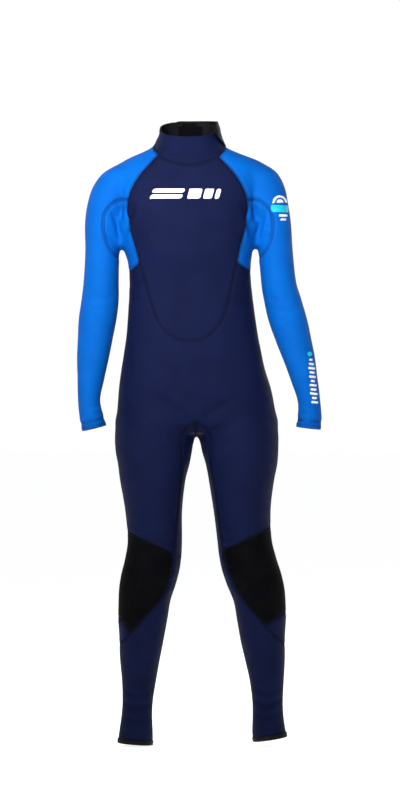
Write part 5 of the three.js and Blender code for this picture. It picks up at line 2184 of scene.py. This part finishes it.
@dataclass
class BackZip:
    """The zip down the back: tapes, teeth, stops, slider, pull tab, flap and end patch."""

    wardrobe: Wardrobe
    repeater: Repeater
    nodes: Dict[str, Piece]
    panels: Panels
    top: float = 4.0
    bottom: float = -304.0
    tape_top: float = 10.0
    tape_depth: float = 2.4
    tape_thickness: float = 1.0
    slot_half: float = 12.0
    row_inner: float = 0.6
    row_outer: float = 3.0
    row_height: float = 2.2
    tooth_pitch: float = 1.6

    def build(self) -> None:
        """Makes every part of the zip."""
        stitch = lockstitch_unit()
        for side in Side:
            self.tape(side, stitch)
            self.teeth(side)
        self.small_metal()
        self.flap(stitch)
        self.end_patch(stitch)
        bpy.data.objects.remove(stitch)

    def tape(self, side: Side, stitch: Piece) -> None:
        """A woven tape with a corded inner edge and one row of stitches."""
        face = self.tape_thickness - self.tape_depth
        near, far = self.row_inner + 0.05, self.slot_half - AIR
        section = rounded_strip(near, far, -self.tape_depth, face, 0.35, 2)
        if side is Side.RIGHT:
            section = [(-x, out) for x, out in section][::-1]
        piece = arc_strip(f"zip_tape_{side.word}_woven", section, self.bottom + AIR, self.tape_top,
                          120)
        dress(piece, self.wardrobe["zip_tape"])
        sharpen(piece, 60)
        settle(piece, "suit", "zip_tape", f"zip_tape_{side.word}")
        path = arc_line(side.value * (far - 2.4), face + 0.12, self.bottom + 4, self.tape_top - 3)
        row = self.repeater.along(f"zip_tape_stitching_{side.word}", [path], stitch, ROW_PITCH,
                                  self.wardrobe["black_thread"], 0.8)
        settle(row, "suit", "")

    def teeth(self, side: Side) -> None:
        """The row of moulded teeth, set half a pitch apart on the two sides."""
        foot = self.tape_thickness - self.tape_depth + 0.15
        height = self.row_height + 0.2
        run = 1.05
        outline = [(-run / 2, 0.0), (run / 2, 0.0), (run / 2, 1.5), (run / 2 + 0.16, 2.0),
                   (run / 2 - 0.1, 2.35), (-run / 2 + 0.1, 2.35), (-run / 2 - 0.16, 2.0),
                   (-run / 2, 1.5)]
        rings = []
        for out, grow in ((0.0, 0.0), (height * 0.75, 0.0), (height, 0.14)):
            rings.append([(u * (1 - grow), v if v < 0.1 else v - grow, out) for u, v in outline])
        unit_piece = loft(f"tooth_{side.word}", np.array(rings, float))
        sharpen(unit_piece, 35)
        flip = -side.value
        mesh = unit_piece.data
        for vertex in mesh.vertices:
            vertex.co.y = vertex.co.y * flip
        if flip < 0:
            mesh.flip_normals()
        start = self.bottom + 5 + (self.tooth_pitch / 2 if side is Side.LEFT else 0)
        line, facing = arc_line(side.value * self.row_outer, foot, start, self.top - AIR, 3)
        # X runs up the zip and Z out, so the tooth's Y points across it.
        piece = self.repeater.along(f"zip_teeth_{side.word}_moulded", [(line, facing)], unit_piece,
                                    self.tooth_pitch, self.wardrobe["zip_nylon"], 1.0, 0.0)
        bpy.data.objects.remove(unit_piece)
        sharpen(piece, 35)
        settle(piece, "suit", "zip_nylon", f"zip_teeth_{side.word}")

    def small_metal(self) -> None:
        """The slider, pull tab and stops, with their edges rounded."""
        for node, body, width in (
            ("zip_slider", "zip_slider", 0.22), ("zip_pull_tab", "zip_pull", 0.22),
            ("zip_top_stop_right", "suit", 0.35), ("zip_top_stop_left", "suit", 0.35),
            ("zip_bottom_stop", "suit", 0.4),
        ):
            piece = eased_copy(self.nodes[node], f"{node}_cast", width)
            dress(piece, self.wardrobe["zip_metal"])
            settle(piece, body, "zip_metal", node)

    def flap(self, stitch: Piece) -> None:
        """The soft flap behind the zip."""
        bow = [(-20, -10.4), (-16, -9.5), (-9, -7.1), (0, -6.7), (9, -7.1), (16, -9.5),
               (20, -10.4)]
        face = smooth_path(bow, 2.5)
        section = [(x, out) for x, out in face] + [(x, out + 1.8) for x, out in face[::-1]]
        piece = arc_strip("zip_backing_flap_cloth", section, self.bottom + 10, 45, 90)
        dress(piece, self.wardrobe["black_jersey"])
        sharpen(piece, 60)
        settle(piece, "suit", "black_jersey", "zip_backing_flap")
        paths = [arc_line(x, -7.9, self.bottom + 14, 41) for x in (-16.5, 16.5)]
        settle(self.repeater.along("zip_flap_stitching", paths, stitch, ROW_PITCH,
                                   self.wardrobe["black_thread"], 0.9), "suit", "")

    def end_patch(self, stitch: Piece) -> None:
        """The rounded patch over the zip's lower end, with a row of stitches round it."""
        top, straight, radius = self.bottom, 14.0, 15.0
        outline = [(-radius, top), (radius, top), (radius, top - straight)]
        outline += [(radius * math.cos(a), top - straight - radius * math.sin(a))
                    for a in np.linspace(0, math.pi, 19)[1:]]
        shape = np.array(outline, float)
        middle = shape.mean(0)
        rings = []
        for share, out in ((1.0, 0.4), (1.0, 1.3), (0.96, 1.75), (0.86, 1.85), (0.6, 1.9),
                           (0.3, 1.9), (0.04, 1.9)):
            flat = middle + (shape - middle) * share
            rings.append(on_arc(flat[:, 0], np.full(len(flat), out), flat[:, 1]))
        piece = loft("zip_end_patch_moulded", np.array(rings))
        dress(piece, self.wardrobe["black_jersey"])
        settle(piece, "suit", "black_jersey", "zip_end_patch")
        flat = middle + (shape - middle) * 0.86
        flat = even_out(smooth_path(np.vstack([flat, flat[:1]]), 2), 4, True)
        line = on_arc(flat[:, 0], np.full(len(flat), 1.95), flat[:, 1])
        out = on_arc(flat[:, 0], np.full(len(flat), 2.95), flat[:, 1])
        settle(self.repeater.along("zip_end_patch_stitching", [(line, unit(out - line))], stitch,
                                   ROW_PITCH, self.wardrobe["black_thread"], 0.9), "suit", "")


def eased_copy(node: Piece, name: str, width: float) -> Piece:
    """A copy of a hard CAD node with its edges rounded.

    Args:
        node: The node's object.
        name: The copy's name.
        width: The rounding's width in millimetres.

    Returns:
        The copy, as a plain mesh at the origin.
    """
    mesh = node.data.copy()
    work = bmesh.new()
    work.from_mesh(mesh)
    bmesh.ops.remove_doubles(work, verts=work.verts, dist=0.01 * MM)
    bmesh.ops.dissolve_limit(work, angle_limit=math.radians(2), verts=work.verts,
                             edges=work.edges)
    bmesh.ops.recalc_face_normals(work, faces=work.faces)
    work.to_mesh(mesh)
    work.free()
    piece = placed(name, mesh)
    bevel = piece.modifiers.new("round", "BEVEL")
    bevel.width = width * MM
    bevel.segments = 2
    bevel.limit_method = "ANGLE"
    bevel.angle_limit = math.radians(28)
    bevel.use_clamp_overlap = True
    outcome(piece)
    piece.data.polygons.foreach_set("use_smooth", np.ones(len(piece.data.polygons), bool))
    sharpen(piece, 38)
    return piece


# ---------------------------------------------------------------- the neck closure

# Angle round the collar (0 at the wearer's left, 90 at the back), low and high edge, and how far
# out from the neck the low edge and the rest stand.
NECK_TAB = [
    (-31, 22, 40, 3.4, 3.4), (-25, 14, 44, 3.0, 3.4), (-14, 8.5, 47, 2.2, 3.6),
    (0, 6, 49, 1.4, 4.2), (14, 6.5, 50, 1.6, 5.2), (30, 8, 51, 1.8, 5.6),
    (50, 10, 52, 1.8, 5), (70, 12, 52.5, 1.6, 4), (90, 15, 52.5, 1.6, 2.8),
    (106, 17, 52, 1.2, 1.6), (118, 20, 48, 0.6, 0.6),
]


@dataclass
class NeckClosure:
    """The tab that crosses the back of the collar and holds on the wearer's left."""

    wardrobe: Wardrobe
    repeater: Repeater
    trunk: Tube
    thickness: float = 2.6
    bend: float = 24.0

    def round_neck(self, degrees: float, height: Array, out: Array) -> Array:
        """Points round the collar at an angle."""
        a = math.radians(degrees)
        reach = 2 / self.trunk.power
        s = self.trunk.section(height)
        cos, sin = math.cos(a), math.sin(a)
        x = s[:, 0] + np.sign(cos) * abs(cos) ** reach * (s[:, 2] + out)
        y = s[:, 1] + np.sign(sin) * abs(sin) ** reach * (s[:, 3] + out)
        return np.stack([x, y, height], 1)

    def build(self) -> None:
        """Makes the tab, its stitching and its two patches."""
        table = Stations(NECK_TAB)
        angles = np.linspace(-31, 118, 100)
        rings = []
        for angle in angles:
            low, high, gap_low, gap_high = table.read(angle)[0]
            end = min(angle + 31, 118 - angle)
            heights = np.concatenate([[low], np.linspace(low + 1.2, high - 1.2, 11), [high]])
            gaps = np.where(heights < self.bend,
                            np.interp(heights, [low, self.bend], [gap_low, gap_high]), gap_high)
            gaps = gaps - (gap_high - 0.5) * 0.8 * ramp(heights, high - 13, high)
            rib = 0.22 * math.sin(angle * 1.9) * np.sin(math.pi * (heights - low) / (high - low))
            thin = self.thickness * (0.8 if end < 1 else 1.0)
            edge = np.ones(len(heights)) * thin
            edge[0] = edge[-1] = thin * 0.55
            edge[1:-1] += rib[1:-1] - 0.12
            inner_gap = gaps.copy()
            inner_gap[0] += 0.6
            inner_gap[-1] += 0.6
            inner = self.round_neck(angle, heights, inner_gap)
            outer = self.round_neck(angle, heights, gaps + edge)
            rings.append(np.vstack([inner, outer[::-1]]))
        tab = loft("neck_closure_tab_moulded", np.array(rings))
        dress(tab, self.wardrobe["black_rubber"])
        sharpen(tab, 50)
        settle(tab, "neck_tab", "black_rubber", "neck_closure_tab")
        self.border(table)
        self.patch("closure_loop_patch", "suit", 0.45, 0.95, 1.0)
        self.patch("closure_hook_patch", "neck_tab", 1.8, 0.95, 0.8)

    def border(self, table: Stations) -> None:
        """A row of stitches round the tab's outer face."""
        upper, lower = [], []
        for angle in np.linspace(-27, 112, 90):
            low, high, gap_low, gap_high = table.read(angle)[0]
            for rows, height in ((upper, high - 3.2), (lower, low + 3.2)):
                gap = np.interp(height, [low, self.bend], [gap_low, gap_high])
                gap -= (gap_high - 0.5) * 0.8 * float(ramp(height, high - 13, high))
                reach = gap + self.thickness - 0.02
                rows.append(self.round_neck(angle, np.array([height]), np.array([reach]))[0])
        line = np.array(upper + lower[::-1] + upper[:1])
        line = even_out(line, 3, True)
        middle = self.trunk.section(line[:, 2])
        facing = line - np.stack([middle[:, 0], middle[:, 1], line[:, 2]], 1)
        stitch = lockstitch_unit()
        row = self.repeater.along("neck_tab_stitching", [(line, unit(facing))], stitch, ROW_PITCH,
                                  self.wardrobe["black_thread"], 0.9)
        bpy.data.objects.remove(stitch)
        settle(row, "neck_tab", "")

    def patch(self, node: str, body: str, out: float, thickness: float, lay: float) -> None:
        """A patch of hook or of loop, with its pile."""
        rings = []
        heights = np.linspace(25, 36, 7)
        for angle in np.linspace(-26, -4, 12):
            inner = self.round_neck(angle, heights, np.full(7, out))
            outer = self.round_neck(angle, heights, np.full(7, out + thickness * 0.62))
            rings.append(np.vstack([inner, outer[::-1]]))
        base = loft(f"{node}_woven", np.array(rings))
        dress(base, self.wardrobe["hook_and_loop"])
        sharpen(base, 50)
        settle(base, body, "hook_and_loop", node)
        hook = unit_of(f"{node}_unit", [([(0, 0, 0), (0, 0, 0.22), (0.14, 0, 0.34),
                                         (0.26, 0, 0.24)], 0.07)], 3)
        paths = []
        for height in np.linspace(25.6, 35.4, 12):
            line = np.vstack([self.round_neck(a, np.array([height]),
                                              np.array([out + thickness * 0.6]))
                              for a in np.linspace(-25.5, -4.5, 14)])
            middle = self.trunk.section(line[:, 2])
            facing = unit(line - np.stack([middle[:, 0], middle[:, 1], line[:, 2]], 1))
            paths.append((line, facing))
        pile = self.repeater.along(f"{node}_pile", paths, hook, 0.9,
                                   self.wardrobe["hook_and_loop"], lay, 0.12)
        bpy.data.objects.remove(hook)
        settle(pile, body, "hook_and_loop")


# ---------------------------------------------------------------- the ankle hems


@dataclass
class AnkleHems:
    """The black binding round the end of each leg."""

    wardrobe: Wardrobe
    repeater: Repeater
    form: Form
    height: float = 8.5
    inward: float = 3.4
    outward: float = 1.4
    around: int = 96

    def build(self) -> None:
        """Makes both bindings and their stitching."""
        stitch = lockstitch_unit()
        turns = np.linspace(0, 2 * math.pi, self.around, endpoint=False)
        for side in Side:
            leg = self.form.legs[side]
            section = rounded_strip(-self.inward, self.outward, -self.height, -AIR, 1.2, 4)
            rims = [leg.rim(leg.bottom + up, turns, grow) for grow, up in section]
            piece = loft(f"ankle_hem_{side.word}_bound", np.stack(rims, 1), False, True)
            dress(piece, self.wardrobe["black_rubber"])
            settle(piece, "suit", "black_rubber", f"ankle_hem_{side.word}")
            closed = np.append(turns, turns[:1] + 2 * math.pi)
            line = leg.rim(leg.bottom - 2.6, closed, self.outward + 0.02)
            out = leg.rim(leg.bottom - 2.6, closed, self.outward + 1.02)
            row = self.repeater.along(
                f"ankle_hem_stitching_{side.word}", [(line, unit(out - line))], stitch, ROW_PITCH,
                self.wardrobe["black_thread"], 0.9)
            settle(row, "suit", "")
        bpy.data.objects.remove(stitch)


# ---------------------------------------------------------------- the studio


@dataclass
class Studio:
    """A plain pale floor, soft light and the camera."""

    floor_height: float = -1.0135
    camera_x: float = 0.017
    camera_z: float = -0.426
    camera_distance: float = 7.0
    lens: float = 185.06
    world_light: float = 0.15

    def build(self) -> None:
        """Sets up the floor, the lights, the world and the camera."""
        scene = bpy.context.scene
        scene.view_settings.view_transform = "Standard"
        world = bpy.data.worlds.new("studio")
        world.use_nodes = True
        tree = world.node_tree
        soft = tree.nodes["Background"]
        soft.inputs[0].default_value = (0.97, 0.98, 1, 1)
        soft.inputs[1].default_value = self.world_light
        seen = tree.nodes.new("ShaderNodeBackground")
        seen.inputs[0].default_value = (1, 1, 1, 1)
        seen.inputs[1].default_value = 1.0
        path, mix = tree.nodes.new("ShaderNodeLightPath"), tree.nodes.new("ShaderNodeMixShader")
        tree.links.new(path.outputs["Is Camera Ray"], mix.inputs[0])
        tree.links.new(soft.outputs[0], mix.inputs[1])
        tree.links.new(seen.outputs[0], mix.inputs[2])
        tree.links.new(mix.outputs[0], tree.nodes["World Output"].inputs[0])
        scene.world = world
        self.floor()
        for name, place, aimed_at, size, power, spread in (
            ("key", (-0.4, -1.25, 0.5), -0.1, 0.6, 4.4, 56),
            ("fill", (1.6, -2.9, 0.3), -0.45, 1.8, 9, 180),
            ("low", (-1.3, -2.9, -0.4), -0.45, 1.8, 6, 180),
            ("back_left", (-1.8, 2.6, 1.2), -0.45, 2.0, 24, 180),
            ("back_right", (1.9, 2.6, 0.6), -0.45, 2.0, 24, 180),
        ):
            lamp = bpy.data.lights.new(name, "AREA")
            lamp.size, lamp.energy, lamp.spread = size, power, math.radians(spread)
            holder = placed(name, lamp)
            holder.location = place
            aim = np.array([0.0, 0.0, aimed_at]) - np.array(place)
            holder.rotation_euler = Vector(aim.tolist()).to_track_quat("-Z", "Y").to_euler()
        data = bpy.data.cameras.new("camera")
        data.lens, data.sensor_width = self.lens, 36
        camera = placed("camera", data)
        camera.location = (self.camera_x, -self.camera_distance, self.camera_z)
        camera.rotation_euler = (math.pi / 2, 0, 0)
        scene.camera = camera

    def floor(self) -> None:
        """The floor: a wide disc, pale and slightly mottled."""
        turns = np.linspace(0, 2 * math.pi, 96, endpoint=False)
        rings = [np.stack([r * np.cos(turns), r * np.sin(turns),
                           np.full(96, self.floor_height * 1000)], 1) for r in (1500, 40000)]
        points = np.vstack(rings + [np.array([[0, 0, self.floor_height * 1000]])])
        faces = [[i, 96 + i, 96 + (i + 1) % 96, (i + 1) % 96] for i in range(96)]
        faces += [[(i + 1) % 96, 192, i] for i in range(96)]
        piece = new_mesh("floor", points, faces)
        sheet = NodeSheet("pale_floor")
        sheet.into("Base Color", sheet.blend(sheet.noise(2.2, 3), (0.86, 0.865, 0.87),
                                             (0.9, 0.9, 0.9)))
        sheet.shader.inputs["Emission Color"].default_value = (1, 1, 1, 1)
        sheet.shader.inputs["Emission Strength"].default_value = 0.86
        dress(piece, sheet.finish(0.9, 0, 0.2))


# ---------------------------------------------------------------- the whole


def main() -> None:
    """Builds the suit round the CAD frame, piece by piece."""
    logging.basicConfig(level=logging.INFO, format="%(message)s")
    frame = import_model()
    Studio().build()
    wardrobe = Wardrobe()
    repeater = Repeater()
    form = Form()
    skin = Skin(form)
    log.info("skin: %d triangles", len(skin.triangles))
    panels = Panels(skin, wardrobe)
    panels.build()
    Stitching(panels, wardrobe, repeater).build()
    Prints(panels, wardrobe).build()
    BackZip(wardrobe, repeater, frame["nodes"], panels).build()
    NeckClosure(wardrobe, repeater, form.trunk).build()
    AnkleHems(wardrobe, repeater, form).build()
    bpy.data.node_groups.remove(repeater.tree)


if __name__ == "__main__":
    main()
